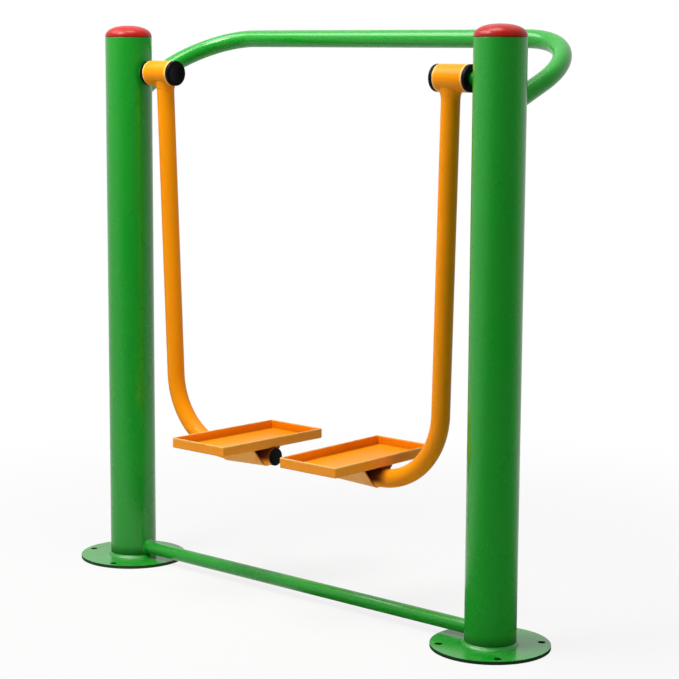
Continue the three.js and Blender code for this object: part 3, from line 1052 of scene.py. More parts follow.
@dataclass(frozen=True)
class Survey:
    """Places on one side that are read off the frame."""

    side: Side
    plane_y: float
    post_x: float
    post_radius: float
    post_top: float
    post_foot: float
    pivot: Vector
    swing: float
    holes: tuple[Vector, ...]

    @classmethod
    def taken(cls, side: Side, record: dict) -> Self:
        """Reads one side of the frame.

        Args:
            side: the side.
            record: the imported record.

        Returns:
            The side's places.
        """
        low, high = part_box(side.node("post"))
        joints = {j["name"]: j for j in record["behaviour"]["joints"]}
        joint = joints[side.node("leg_swing")]
        holes = [
            (Vector(opening["box_m"][0]) + Vector(opening["box_m"][1])) / 2
            for opening in record["physics"]["openings"]
            if opening["name"].startswith(side.node("plate_bolt_hole"))
        ]
        return cls(
            side=side,
            plane_y=(low.y + high.y) / 2,
            post_x=(low.x + high.x) / 2,
            post_radius=(high.x - low.x) / 2,
            post_top=high.z,
            post_foot=low.z,
            pivot=Vector(joint["pos_m"]),
            swing=-math.radians(sum(joint["range_deg"]) / 2),
            holes=tuple(holes),
        )

    @property
    def sign(self) -> int:
        """-1 on the left and 1 on the right."""
        return self.side.value

    @property
    def standing(self) -> Matrix:
        """The frame of the post: Z up its axis, from the ground."""
        return Matrix.Translation((self.post_x, self.plane_y, 0.0))

    @property
    def axle(self) -> Matrix:
        """The frame of the axle: Z along it, from the post's axis inwards."""
        turn = Matrix.Rotation(-self.sign * math.pi / 2, 4, "Y")
        return Matrix.Translation((self.post_x, self.pivot.y, self.pivot.z)) @ turn

    @property
    def hanging(self) -> Matrix:
        """The frame of the leg as it hangs: its origin on the pivot axis in the walker's middle."""
        place = Matrix.Translation((0.0, self.pivot.y, self.pivot.z))
        return place @ Matrix.Rotation(self.swing, 4, "X")

    def along(self, node: str) -> Span:
        """Where a node of this side lies along the axle.

        Args:
            node: the node's name without its side.

        Returns:
            Its near and far end, from the post's axis inwards.
        """
        near, far = sorted(-self.sign * (x - self.post_x) for x in (p.x for p in self.box(node)))
        return near, far

    def box(self, node: str) -> tuple[Vector, Vector]:
        """The lowest and highest corners of a node of this side."""
        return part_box(self.side.node(node))

    def girth(self, node: str) -> float:
        """The radius of a node of this side that turns about the axle."""
        low, high = self.box(node)
        return (high.z - low.z) / 2


@dataclass
class Workshop:
    """Puts finished meshes on the frame and keeps what the pieces share."""

    materials: dict[Slot, Material]
    tube: GeometryTree
    puddles: GeometryTree
    balls: GeometryTree
    count: int = 0

    def mount(self, name: str, mesh: Mesh, slot: Slot, body: str, nodes: Sequence[str] = ()) -> None:
        """Makes a piece of a mesh that is already in its place.

        Args:
            name: the piece's name.
            mesh: its mesh.
            slot: the finish it gets.
            body: the body it rides on.
            nodes: the frame's nodes that it replaces.
        """
        piece = bpy.data.objects.new(name, mesh)
        bpy.context.scene.collection.objects.link(piece)
        mesh.name = name
        mesh.materials.clear()
        mesh.materials.append(self.materials[slot])
        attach(piece, body)
        if nodes:
            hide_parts(*nodes)
        self.count += 1
        LOG.info("%s: %d faces, rides on %s", name, len(mesh.polygons), body)

    def weld(
        self,
        name: str,
        stations: Sequence[Station],
        look: WeldLook,
        slot: Slot,
        body: str,
        closed: bool = True,
    ) -> None:
        """Lays a weld.

        Args:
            name: the piece's name.
            stations: the places along it in turn, a whole number of puddles long.
            look: how it is laid.
            slot: the finish it gets.
            body: the body it rides on.
            closed: whether it runs round and joins itself.
        """
        mesh = self.puddles.grown(
            look.fillet(stations, closed),
            Puddles=float(len(stations) // PUDDLE_STEPS),
            Ripple=look.ripple,
            Unevenness=look.unevenness,
            Seed=float(self.count),
            Material=self.materials[slot],
        )
        for helper in ("along", "rise"):
            mesh.attributes.remove(mesh.attributes[helper])
        self.mount(name, mesh, slot, body)


@dataclass(frozen=True)
class RoundBar:
    """A round bar that a tube is coped to."""

    spot: Vector
    axis: Vector
    radius: float

    @classmethod
    def post(cls, at: Survey) -> Self:
        """The post of a side."""
        return cls(Vector((at.post_x, at.plane_y, 0.0)), UP, at.post_radius)

    def met(self, point: Vector, direction: Vector) -> Vector:
        """Moves a point along a line onto the side of the bar that faces it.

        Args:
            point: the point.
            direction: the line's direction.

        Returns:
            Where the line meets the bar.
        """
        across = direction - self.axis * direction.dot(self.axis)
        offset = point - self.spot
        offset -= self.axis * offset.dot(self.axis)
        a = across.length_squared
        b = offset.dot(across)
        root = math.sqrt(max(b * b - a * (offset.length_squared - self.radius**2), 0.0))
        return point + direction * ((-b - root) / a)

    def onto(self, point: Vector) -> Vector:
        """Drops a point onto the bar's side.

        Args:
            point: the point.

        Returns:
            The place over it, a weld's lift off the bar.
        """
        offset = point - self.spot
        along = self.axis * offset.dot(self.axis)
        return self.spot + along + (offset - along).normalized() * (self.radius + WELD_LIFT)


def bent_path(corners: Sequence[Vector], bend: float, steps: int) -> list[Vector]:
    """The axis of a tube with straight runs and round bends.

    Args:
        corners: the axis's ends and corners in turn.
        bend: the radius of its bends.
        steps: how many chords each bend has.

    Returns:
        The points in turn.
    """
    points = [corners[0]]
    for before, corner, after in zip(corners, corners[1:], corners[2:]):
        arriving = (corner - before).normalized()
        leaving = (after - corner).normalized()
        turn = arriving.angle(leaving)
        inwards = (leaving - arriving).normalized()
        centre = corner + inwards * (bend / math.cos(turn / 2))
        ahead = (arriving + leaving).normalized()
        for step in range(steps + 1):
            angle = turn * (step / steps - 0.5)
            points.append(centre + (ahead * math.sin(angle) - inwards * math.cos(angle)) * bend)
    points.append(corners[-1])
    return points


@dataclass
class SweptTube:
    """A tube along a path, whose ends may be coped to round bars."""

    path: list[Vector]
    radius: float
    wall: float
    start: RoundBar | None = None
    end: RoundBar | None = None
    sides: int = 56

    def shortened(self, clear: float) -> Self:
        """Draws the coped ends back from the axes of their bars.

        Args:
            clear: how far.

        Returns:
            This tube.
        """
        if self.start:
            self.path[0] = self.path[0] + (self.path[1] - self.path[0]).normalized() * clear
        if self.end:
            self.path[-1] = self.path[-1] + (self.path[-2] - self.path[-1]).normalized() * clear
        return self

    def mesh(self, shop: Workshop, slot: Slot) -> Mesh:
        """Makes the tube.

        Args:
            shop: what makes and dresses pieces.
            slot: the finish it gets.

        Returns:
            The mesh, closed at both ends between its outside and its bore.
        """
        swept = shop.tube.grown(
            polyline(self.path),
            Radius=self.radius,
            Bore=self.radius - self.wall,
            Sides=self.sides,
            Material=shop.materials[slot],
        )
        draft = MeshDraft().joined(swept)
        rims = [e for e in draft.bm.edges if e.is_boundary]
        for tip, inner, bar in ((*self.path[:2], self.start), (*self.path[:-3:-1], self.end)):
            near = [e for e in rims if (e.verts[0].co - tip).length < self.radius * 1.5]
            for vert in {v for e in near for v in e.verts} if bar else ():
                vert.co = bar.met(vert.co, (tip - inner).normalized())
            bmesh.ops.bridge_loops(draft.bm, edges=near)
        return draft.finished("tube")

    def stations(self, bar: RoundBar, at_start: bool, look: WeldLook) -> list[Station]:
        """The places along the weld between an end and its bar.

        Args:
            bar: the bar.
            at_start: whether it is the end where the path begins.
            look: how the weld is laid.

        Returns:
            The stations in turn.
        """
        tip, inner = self.path[:2] if at_start else self.path[:-3:-1]
        direction = (tip - inner).normalized()
        one = direction.orthogonal().normalized()
        other = direction.cross(one)
        count = look.puddles(self.radius)
        stations = []
        for step in range(count):
            angle = 2 * math.pi * step / count
            outwards = one * math.cos(angle) + other * math.sin(angle)
            root = bar.met(inner + outwards * self.radius, direction)
            toe = root - direction * look.reach + outwards * WELD_LIFT
            stations.append(Station(root, toe, bar.onto(root + outwards * look.spread)))
        return stations


@dataclass
class SidePart:
    """A sub-assembly of one side, with what makes and mounts its pieces."""

    at: Survey
    shop: Workshop

    def fit(self, node: str, form: str, mesh: Mesh, slot: Slot, rides: Rides) -> None:
        """Mounts a piece in place of one of this side's nodes.

        Args:
            node: the node's name without its side.
            form: the word that the piece's name adds to the node's.
            mesh: its mesh.
            slot: the finish it gets.
            rides: what it moves with.
        """
        full = self.at.side.node(node)
        self.shop.mount(f"{full}_{form}", mesh, slot, rides.body(self.at.side), [full])

    def lay(
        self,
        name: str,
        stations: Sequence[Station],
        look: WeldLook,
        slot: Slot,
        rides: Rides,
        closed: bool = True,
    ) -> None:
        """Lays a weld on this side.

        Args:
            name: the piece's name without its side.
            stations: the places along it in turn.
            look: how it is laid.
            slot: the finish it gets.
            rides: what it moves with.
            closed: whether it runs round and joins itself.
        """
        side = self.at.side
        self.shop.weld(side.node(name), stations, look, slot, rides.body(side), closed)


@dataclass
class StandingPost(SidePart):
    """A post with its cap, its base plate and the weld between them."""

    wall: float = 0.003
    rim_fillet: float = 0.0008
    plate_fillet: float = 0.0007
    hole: float = 0.017
    hole_sides: int = 40
    plate_sides: int = 144
    weld: WeldLook = WeldLook(reach=0.0068, spread=0.0068, hollow=0.2)
    post_sides: int = 128
    # height of the painted shade at the post's foot
    foot_grime: float = 0.03
    foot_rings: int = 4
    cap_fullness: float = 2.3  # 2 is half an ellipse, more is squarer at the rim
    cap_wall: float = 0.0025
    cap_skirt: float = 0.024
    cap_fillet: float = 0.0006
    # height of the painted shade along the cap's foot
    cap_seam: float = 0.0016
    dome_steps: int = 24

    def build(self) -> None:
        """Makes every piece of the post."""
        self.make_post()
        self.make_cap()
        self.make_plate()
        self.make_foot_weld()

    @property
    def plate_top(self) -> float:
        """The height of the plate's upper face."""
        return self.at.post_foot - SEAT_GAP

    def make_post(self) -> None:
        """Turns the tube, its rims lightly broken."""
        outer = self.at.post_radius
        inner = outer - self.wall
        low, high = self.at.post_foot, self.at.post_top
        step = self.foot_grime / self.foot_rings
        section = [
            Corner(inner, low),
            *(Corner(outer, low + step * i) for i in range(self.foot_rings + 1)),
            Corner(outer, high, self.rim_fillet),
            Corner(inner, high, self.rim_fillet),
        ]
        mesh = MeshDraft().turned(section, self.post_sides, self.at.standing).finished("post")
        # painted shade, darker towards the post's foot
        mark(mesh, Mark.SEAM, lambda spot: 1 - (spot.z - low) / self.foot_grime)
        self.fit("post", "tube", mesh, Slot.GREEN, Rides.FRAME)

    def make_cap(self) -> None:
        """Turns the domed cap with its lip and the skirt inside the tube."""
        top = self.at.box("post_cap")[1].z
        seat = self.at.post_top + SEAT_GAP
        rim = self.at.post_radius
        skirt = rim - self.wall - SEAT_GAP
        bore = skirt - self.cap_wall
        section = [
            *self.dome(rim, seat, top),
            Corner(rim, seat, self.cap_fillet),
            Corner(skirt, seat),
            Corner(skirt, seat - self.cap_skirt, self.cap_fillet),
            Corner(bore, seat - self.cap_skirt, self.cap_fillet),
            *self.dome(bore, seat - self.cap_wall, top - self.cap_wall)[::-1],
        ]
        mesh = MeshDraft().turned(section, self.post_sides, self.at.standing).finished("cap")
        # painted shade along the cap's foot, at the groove on the post's rim
        mark(mesh, Mark.SEAM, lambda spot: float(spot.z < seat + self.cap_seam))
        self.fit("post_cap", "dome", mesh, Slot.RED, Rides.FRAME)

    def dome(self, rim: float, foot: float, top: float) -> list[Corner]:
        """Half the section of a dome.

        Args:
            rim: its radius.
            foot: the height at which its sides stand upright.
            top: its height on the axis.

        Returns:
            Its corners from the axis outwards, without the one at the foot.
        """
        corners = [Corner(0.0, top)]
        power = 2 / self.cap_fullness
        for step in range(1, self.dome_steps):
            angle = math.pi / 2 * step / self.dome_steps
            height = foot + (top - foot) * math.cos(angle) ** power
            corners.append(Corner(rim * math.sin(angle) ** power, height))
        return corners

    def outline(self) -> bpy.types.Curve:
        """Draws the plate's rim and its bolt holes.

        Returns:
            A flat curve with a thickness and a rounded edge.
        """
        low, high = self.at.box("base_plate")
        outline = bpy.data.curves.new("plate_outline", "CURVE")
        outline.dimensions = "2D"
        outline.fill_mode = "BOTH"
        outline.extrude = self.plate_top / 2 - self.plate_fillet
        outline.bevel_depth = self.plate_fillet
        outline.bevel_resolution = 2
        outline.offset = -self.plate_fillet
        rims = [(self.at.standing.translation, (high.x - low.x) / 2, self.plate_sides)]
        rims += [(hole, self.hole / 2, self.hole_sides) for hole in self.at.holes]
        for centre, size, sides in rims:
            spline = outline.splines.new("POLY")
            spline.points.add(sides - 1)
            spline.use_cyclic_u = True
            for i, point in enumerate(spline.points):
                angle = 2 * math.pi * i / sides
                x, y = centre.x + size * math.cos(angle), centre.y + size * math.sin(angle)
                point.co = (x, y, 0.0, 1.0)
        return outline

    def make_plate(self) -> None:
        """Cuts the plate from sheet with its bolt holes, every edge lightly rounded."""
        sheet = evaluated("plate", self.outline(), lambda carrier: None)
        sheet.transform(Matrix.Translation((0.0, 0.0, self.plate_top / 2)))
        mesh = weighted(MeshDraft().joined(sheet).finished("plate"))
        top, fillet = self.plate_top, self.plate_fillet
        # painted shade on the plate's rim and underside
        mark(mesh, Mark.SEAM, lambda spot: float(spot.z < top - fillet / 2))
        # painted highlight along the plate's rounded upper rim
        mark(mesh, Mark.EDGE, lambda spot: float(top - fillet < spot.z < top - TOUCH))
        self.fit("base_plate", "sheet", mesh, Slot.GREEN, Rides.FRAME)

    def make_foot_weld(self) -> None:
        """Lays the weld round the post's foot."""
        look = self.weld
        count = look.puddles(self.at.post_radius)
        stations = []
        for i in range(count):
            angle = 2 * math.pi * i / count
            outwards = Vector((math.cos(angle), math.sin(angle), 0.0))
            root = self.at.standing @ (outwards * self.at.post_radius + UP * self.plate_top)
            one = root + UP * look.reach + outwards * WELD_LIFT
            stations.append(Station(root, one, root + outwards * look.spread + UP * WELD_LIFT))
        self.lay("post_foot_weld", stations, look, Slot.GREEN, Rides.FRAME)


@dataclass
class CrossTube:
    """A tube from post to post, coped and welded to both."""

    left: Survey
    right: Survey
    shop: Workshop
    weld: WeldLook = WeldLook(reach=0.005, spread=0.005, hollow=0.3)

    def join(self, node: str, path: list[Vector], radius: float, wall: float) -> None:
        """Copes a tube to the posts and welds it.

        Args:
            node: the frame's node that it stands for.
            path: its axis, from one post's axis to the other's.
            radius: its radius.
            wall: its wall.
        """
        posts = [RoundBar.post(at) for at in (self.left, self.right)]
        tube = SweptTube(path, radius, wall, *posts).shortened(posts[0].radius + radius)
        body = Rides.FRAME.value
        self.shop.mount(f"{node}_tube", tube.mesh(self.shop, Slot.GREEN), Slot.GREEN, body, [node])
        for side, bar in zip(Side, posts):
            stations = tube.stations(bar, side is Side.LEFT, self.weld)
            name = f"{node}_{side.name.lower()}_weld"
            self.shop.weld(name, stations, self.weld, Slot.GREEN, body)


@dataclass
class Handrail(CrossTube):
    """The bent tube behind the posts, a flat U tilted up to the rear."""

    radius: float = 0.021
    wall: float = 0.003
    run_depth: float = 0.001
    arm_depth: float = 0.156
    reach: float = 0.296
    overhang: float = 0.055
    bend: float = 0.171
    bend_steps: int = 40

    def build(self) -> None:
        """Bends the tube, copes it to the posts and welds it."""
        top, plane = self.left.post_top, self.left.plane_y
        half = (self.right.post_x - self.left.post_x) / 2
        wide, back, high = half + self.overhang, plane + self.reach, top - self.run_depth
        ends = ((-half, plane, top - self.arm_depth), (half, plane, top - self.arm_depth))
        corners = [Vector(p) for p in (ends[0], (-wide, back, high), (wide, back, high), ends[1])]
        path = bent_path(corners, self.bend, self.bend_steps)
        self.join("handrail", path, self.radius, self.wall)


@dataclass
class TieBar(CrossTube):
    """The thin tube between the feet of the posts."""

    wall: float = 0.0025

    def build(self) -> None:
        """Copes the bar to the posts and welds it."""
        low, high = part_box("tie_bar")
        height = (high.z + low.z) / 2
        xs = (self.left.post_x, 0.0, self.right.post_x)
        path = [Vector((x, self.left.plane_y, height)) for x in xs]
        self.join("tie_bar", path, (high.z - low.z) / 2, self.wall)


@dataclass
class Pivot(SidePart):
    """A stub axle with its two bearings, their spacer, the end washer and the end bolt."""

    journal: float = 0.0125
    shoulder_fillet: float = 0.0008
    ring_height: float = 0.0038
    ring_fillet: float = 0.0007
    small_fillet: float = 0.0004
    ball: float = 0.00395
    balls: int = 9
    groove_steps: int = 12
    cage_wall: float = 0.0011
    cage_width: float = 0.009
    bolt_flats: float = 0.017
    bolt_chamfer: float = 0.94  # the turned circle's share of the flats
    bolt_head: float = 0.0064
    bolt_length: float = 0.028
    bolt_radius: float = 0.005
    bolt_sides: int = 6
    weld: WeldLook = WeldLook(reach=0.004, spread=0.004)
    sides: int = 72

    def build(self) -> None:
        """Makes every piece of the pivot."""
        self.make_axle()
        for place in ("outer", "inner"):
            self.make_rings(place)
            self.make_cage(place)
        self.make_sleeve("bearing_spacer", Slot.BEARING, self.journal)
        self.make_sleeve("axle_end_washer", Slot.ZINC, self.bolt_radius)
        self.make_bolt()

    @property
    def track(self) -> float:
        """The radius of the circle on which the balls run."""
        return (self.journal + SEAT_GAP + self.at.girth("outer_bearing_outer_ring")) / 2

    def turn(self, node: str, section: Sequence[Corner], slot: Slot, rides: Rides) -> None:
        """Turns a piece about the axle in place of its node.

        Args:
            node: the node's name without its side.
            section: the piece's section.
            slot: the finish it gets.
            rides: what it moves with.
        """
        mesh = MeshDraft().turned(section, self.sides, self.at.axle).finished(node)
        self.fit(node, "turned", mesh, slot, rides)

    def make_axle(self) -> None:
        """Turns the axle, stepped down for the bearings, and welds it into the post."""
        radius = self.at.girth("stub_axle")
        start, end = self.at.along("stub_axle")
        shoulder = self.at.along("outer_bearing_inner_ring")[0] - SEAT_GAP
        bore, depth = self.bolt_radius + SEAT_GAP, end - self.bolt_length
        section = [
            Corner(0.0, start),
            Corner(radius, start),
            Corner(radius, shoulder, self.shoulder_fillet),
            Corner(self.journal, shoulder),
            Corner(self.journal, end, self.shoulder_fillet),
            Corner(bore, end),
            Corner(bore, depth),
            Corner(0.0, depth),
        ]
        self.turn("stub_axle", section, Slot.GREEN, Rides.FRAME)
        path = [self.at.axle @ (UP * reach) for reach in (end, self.at.post_radius + radius)]
        rod = SweptTube(path, radius, radius / 2)
        stations = rod.stations(RoundBar.post(self.at), False, self.weld)
        self.lay("stub_axle_weld", stations, self.weld, Slot.GREEN, Rides.FRAME)

    def groove(self, shoulder: float, middle: float) -> list[Corner]:
        """The section of a ball groove.

        Args:
            shoulder: the radius of the ring beside the groove.
            middle: where the groove lies along the axle.

        Returns:
            The groove's corners towards the far end of the axle.
        """
        radius = self.ball + SEAT_GAP
        offset = shoulder - self.track
        edge = math.acos(abs(offset) / radius)
        corners = []
        for step in range(self.groove_steps + 1):
            angle = edge * (2 * step / self.groove_steps - 1)
            spot = self.track + math.copysign(radius * math.cos(angle), offset)
            corners.append(Corner(spot, middle + radius * math.sin(angle)))
        return corners

    def make_rings(self, place: str) -> None:
        """Turns the two rings of a bearing with their grooves.

        Args:
            place: which bearing: outer or inner.
        """
        node = f"{place}_bearing_inner_ring"
        start, end = self.at.along(node)
        bore = self.journal + SEAT_GAP
        shoulder = bore + self.ring_height
        section = [
            Corner(bore, end, self.ring_fillet),
            Corner(bore, start, self.ring_fillet),
            Corner(shoulder, start, self.small_fillet),
            *self.groove(shoulder, (start + end) / 2),
            Corner(shoulder, end, self.small_fillet),
        ]
        self.turn(node, section, Slot.BEARING, Rides.FRAME)
        node = f"{place}_bearing_outer_ring"
        start, end = self.at.along(node)
        rim = self.at.girth(node)
        shoulder = rim - self.ring_height
        section = [
            Corner(rim, start, self.ring_fillet),
            Corner(rim, end, self.ring_fillet),
            Corner(shoulder, end, self.small_fillet),
            *self.groove(shoulder, (start + end) / 2)[::-1],
            Corner(shoulder, start, self.small_fillet),
        ]
        self.turn(node, section, Slot.BEARING, Rides.LEG)

    def make_cage(self, place: str) -> None:
        """Sets the balls round their track in the band that keeps them apart.

        Args:
            place: which bearing: outer or inner.
        """
        middle = sum(self.at.along(f"{place}_bearing_inner_ring")) / 2
        balls = self.shop.balls.grown(
            polyline([Vector(), UP]),
            Balls=self.balls,
            Track=self.track,
            Ball=self.ball,
            Material=self.shop.materials[Slot.BEARING],
        )
        balls.transform(self.at.axle @ Matrix.Translation((0.0, 0.0, middle)))
        low, high = self.track - self.cage_wall / 2, self.track + self.cage_wall / 2
        near, far = middle - self.cage_width / 2, middle + self.cage_width / 2
        section = [Corner(low, near), Corner(high, near), Corner(high, far), Corner(low, far)]
        draft = MeshDraft().turned(section, self.sides, self.at.axle).joined(balls)
        node = f"{place}_bearing_ball_cage"
        self.fit(node, "set", draft.finished(node), Slot.BEARING, Rides.CAGES)

    def make_sleeve(self, node: str, slot: Slot, shaft: float) -> None:
        """Turns a plain ring that stands on the axle or under the bolt's head.

        Args:
            node: the node's name without its side.
            slot: the finish it gets.
            shaft: the radius of what it stands on.
        """
        start, end = self.at.along(node)
        rim, bore = self.at.girth(node), shaft + SEAT_GAP
        section = [
            Corner(bore, start),
            Corner(rim, start, self.small_fillet),
            Corner(rim, end, self.small_fillet),
            Corner(bore, end),
        ]
        self.turn(node, section, slot, Rides.FRAME)

    def make_bolt(self) -> None:
        """Makes the end bolt: a shank and a hexagon head with its corners turned off."""
        end = self.at.along("axle_end_bolt")[1]
        seat = end - self.bolt_head
        half = math.pi / self.bolt_sides
        corner = self.bolt_flats / 2 / math.cos(half)
        turned = self.bolt_flats / 2 * self.bolt_chamfer
        drop = (corner - turned) * math.tan(half)
        angles = [2 * half * i for i in range(self.bolt_sides)]
        loops = [
            [self.at.axle @ Vector((r * math.cos(a), r * math.sin(a), height)) for a in angles]
            for r, height in ((corner, seat), (corner, end - drop), (turned, end))
        ]
        root, tip = seat + self.bolt_head / 2, seat - self.bolt_length
        shank = [
            Corner(0.0, root),
            Corner(self.bolt_radius, root),
            Corner(self.bolt_radius, tip, self.shoulder_fillet),
            Corner(0.0, tip),
        ]
        draft = MeshDraft().lofted(loops).turned(shank, self.sides, self.at.axle)
        node = "axle_end_bolt"
        self.fit(node, "hex", draft.finished(node), Slot.ZINC, Rides.FRAME)


@dataclass
class Leg(SidePart):
    """A swinging leg: hub, caps, tube, plug, saddle and tray."""

    tube_radius: float = 0.021
    tube_wall: float = 0.003
    hub_radius: float = 0.030
    bearing_seat: float = 0.0263
    hub_shoulder: float = 0.002
    hub_fillet: float = 0.0012
    small_fillet: float = 0.0004
    plug_wall: float = 0.004
    cap_wall: float = 0.002
    cap_fillets: Span = (0.0005, 0.0026)  # where a cap meets the hub, and round its face
    seal_fillets: Span = (0.0008, 0.0024)  # round the axle and round the face
    cap_dish: tuple[float, float, float] = (0.62, 0.58, 0.0005)  # its radii's shares, its depth
    axle_clear: float = 0.0155
    offset: float = 0.009
    lean: float = math.radians(2.27)
    straight: float = 0.735
    bend: float = 0.175
    bend_steps: int = 48
    end: float = 0.076
    hub_weld: WeldLook = WeldLook(
        reach=0.016, spread=0.0065, hollow=0.62, ripple=0.0003, toe_grime=0.1
    )
    hub_rim: float = 0.0036  # of the pale band round each end of the hub
    hub_fade: float = 0.00144  # over which it ends
    edge_band: float = 0.0035
    plug_lip: float = 0.003
    plug_fillet: float = 0.0014
    plug_depth: float = 0.018
    plug_barrel_wall: float = 0.002
    plug_crown: tuple[Span, ...] = ((0.72, 0.0006), (0.4, 0.001), (0.0, 0.0012))
    tray_length: float = 0.340
    tray_width: float = 0.170
    tray_height: float = 0.024
    tray_sheet: float = 0.003
    tray_standoff: float = 0.0038
    tray_set: float = 0.166
    tray_setback: float = 0.002
    tray_tilt: float = math.radians(0.8)
    tray_fold: float = 0.0032
    tray_rim: float = 0.0012
    tray_inner_fold: float = 0.0015
    tray_corner: float = 0.0028
    tray_corner_steps: int = 4
    corner_draw: float = 0.7  # how much tighter a corner is, for each length that it lies inside
    corner_least: float = 0.0006
    floor_rings: Span = (3.0, 8.0)  # in sheets from the outline
    rim_share: float = 0.9  # of the edge band, that carries a painted highlight along the rim
    fold_shares: Span = (0.9, 1.9)  # in sheets from the outline, where dirt and painted shade lie in the fold
    # painted reflection of the floor on the outside of the walls
    painted_wall_reflection: float = 0.12
    # dirt and painted shade in the fold between floor and walls
    tray_grime: float = 0.25
    saddle_length: float = 0.130
    saddle_sheet: float = 0.003
    saddle_slope: float = math.radians(50)
    saddle_steps: int = 16
    # painted reflection of the floor over the whole strap
    saddle_scuff: float = 0.5
    recess: float = 0.036  # how far the painted shade beside the strap reaches along the tube
    recess_growth: float = 1.5  # how much farther it reaches towards the walker's middle
    recess_shares: Span = (1.15, 1.5)  # of it, where the painted shade is gone and where the strap hides it
    recess_heights: Span = (-0.55, 0.05)  # in tube radii, where the painted shade starts and is full
    recess_shade: float = 1.3  # of the painted shade, over 1 so that the noise breaks less of it up
    ring_shares: tuple[float, ...] = (0.0, 0.25, 0.5)  # of it, where the tube has a ring
    saddle_weld: WeldLook = WeldLook(
        reach=0.0045, spread=0.0027, hollow=0.35, ripple=0.0003, unevenness=0.0005, toe_grime=0.1
    )
    weld_start: float = 0.3  # the share of a weld's size at its open ends
    weld_growths: Span = (8.0, 20.0)  # how fast an end weld and a side weld grow to their size
    seam_length: float = 0.98  # the share of the strap's sides that is welded
    seam_weld: WeldLook = WeldLook(
        reach=0.0035, spread=0.0035, ripple=0.0003, unevenness=0.0006, toe_grime=0.4
    )
    sides: int = 96

    def build(self) -> None:
        """Makes every piece of the leg."""
        self.make_hub()
        self.make_caps()
        self.make_tube()
        self.make_plug()
        self.make_saddle()
        self.weld_saddle()
        self.make_tray()

    def make_hub(self) -> None:
        """Turns the hub with its seats for the bearings."""
        start, end = self.at.along("hub")
        first = self.at.along("outer_bearing_outer_ring")[1] + SEAT_GAP
        second = self.at.along("inner_bearing_outer_ring")[0] - SEAT_GAP
        seat, middle = self.bearing_seat, self.bearing_seat - self.hub_shoulder
        section = [
            Corner(self.hub_radius, start, self.hub_fillet),
            Corner(self.hub_radius, start + self.hub_rim),
            Corner(self.hub_radius, start + self.hub_rim + self.hub_fade),
            Corner(self.hub_radius, end - self.hub_rim - self.hub_fade),
            Corner(self.hub_radius, end - self.hub_rim),
            Corner(self.hub_radius, end, self.hub_fillet),
            Corner(seat, end, self.small_fillet),
            Corner(seat, second),
            Corner(middle, second),
            Corner(middle, first),
            Corner(seat, first),
            Corner(seat, start, self.small_fillet),
        ]
        mesh = MeshDraft().turned(section, self.sides, self.at.axle).finished("hub")
        band = self.hub_rim + self.hub_fade / 2
        low, high = start + band, end - band
        mark(mesh, Mark.EDGE, lambda spot: float(not low < abs(spot.x - self.at.post_x) < high))
        self.fit("hub", "sleeve", mesh, Slot.YELLOW, Rides.LEG)

    def make_caps(self) -> None:
        """Turns the two black caps of the hub."""
        hub_start, hub_end = self.at.along("hub")
        rim, plug = self.hub_radius, self.bearing_seat - SEAT_GAP
        inside = plug - self.plug_wall
        near_fillet, face_fillet = self.cap_fillets
        face, plug_end = self.at.along("hub_seal_cap")
        seat = hub_start - SEAT_GAP
        ring = [
            Corner(self.axle_clear, face, self.seal_fillets[0]),
            Corner(rim, face, self.seal_fillets[1]),
            Corner(rim, seat, near_fillet),
            Corner(plug, seat),
            Corner(plug, plug_end),
            Corner(inside, plug_end),
            Corner(inside, seat),
            Corner(self.axle_clear, seat),
        ]
        plug_start, face = self.at.along("hub_end_cap")
        seat = hub_end + SEAT_GAP
        wide, narrow, depth = self.cap_dish
        lid = [
            Corner(inside, plug_start),
            Corner(plug, plug_start),
            Corner(plug, seat),
            Corner(rim, seat, near_fillet),
            Corner(rim, face, face_fillet),
            Corner(rim * wide, face),
            Corner(rim * narrow, face - depth),
            Corner(0.0, face - depth),
            Corner(0.0, face - self.cap_wall),
            Corner(inside, face - self.cap_wall),
        ]
        for node, section in (("hub_seal_cap", ring), ("hub_end_cap", lid)):
            mesh = MeshDraft().turned(section, self.sides, self.at.axle).finished(node)
            self.fit(node, "moulding", mesh, Slot.BLACK, Rides.LEG)

    @property
    def inwards(self) -> Vector:
        """The direction of the leg's level run, as the leg hangs plumb."""
        return Vector((-self.at.sign * math.cos(self.lean), 0.0, math.sin(self.lean)))

    @property
    def corners(self) -> list[Vector]:
        """The leg's axis as it hangs plumb.

        Returns:
            Its ends and its corner, from the pivot down.
        """
        sign = self.at.sign
        middle = sum(self.at.along("hub")) / 2
        top = Vector((sign * (abs(self.at.post_x) - middle - self.offset), 0.0, 0.0))
        down = Vector((-sign * math.sin(self.lean), 0.0, -math.cos(self.lean)))
        bottom = top + down * (self.straight + self.bend)
        run = (abs(bottom.x) - self.end) / math.cos(self.lean)
        return [top, bottom, bottom + self.inwards * run]

    @property
    def saddle_frame(self) -> Matrix:
        """The frame of the saddle.

        Returns:
            A frame with its origin on the tube's axis, Y up and Z along the level run.
        """
        bottom = self.corners[1]
        along = (abs(bottom.x) - self.tray_set) / abs(self.inwards.x)
        upwards = (UP - self.inwards * UP.dot(self.inwards)).normalized()
        rear = Vector((0.0, 1.0, 0.0))
        turn = Matrix((rear, upwards, self.inwards)).transposed().to_4x4()
        return self.at.hanging @ Matrix.Translation(bottom + self.inwards * along) @ turn

    @property
    def run_frame(self) -> Matrix:
        """The frame at the end of the tube: Z along its level run, out of the end."""
        turn = UP.rotation_difference(self.inwards).to_matrix().to_4x4()
        return self.at.hanging @ Matrix.Translation(self.corners[2]) @ turn

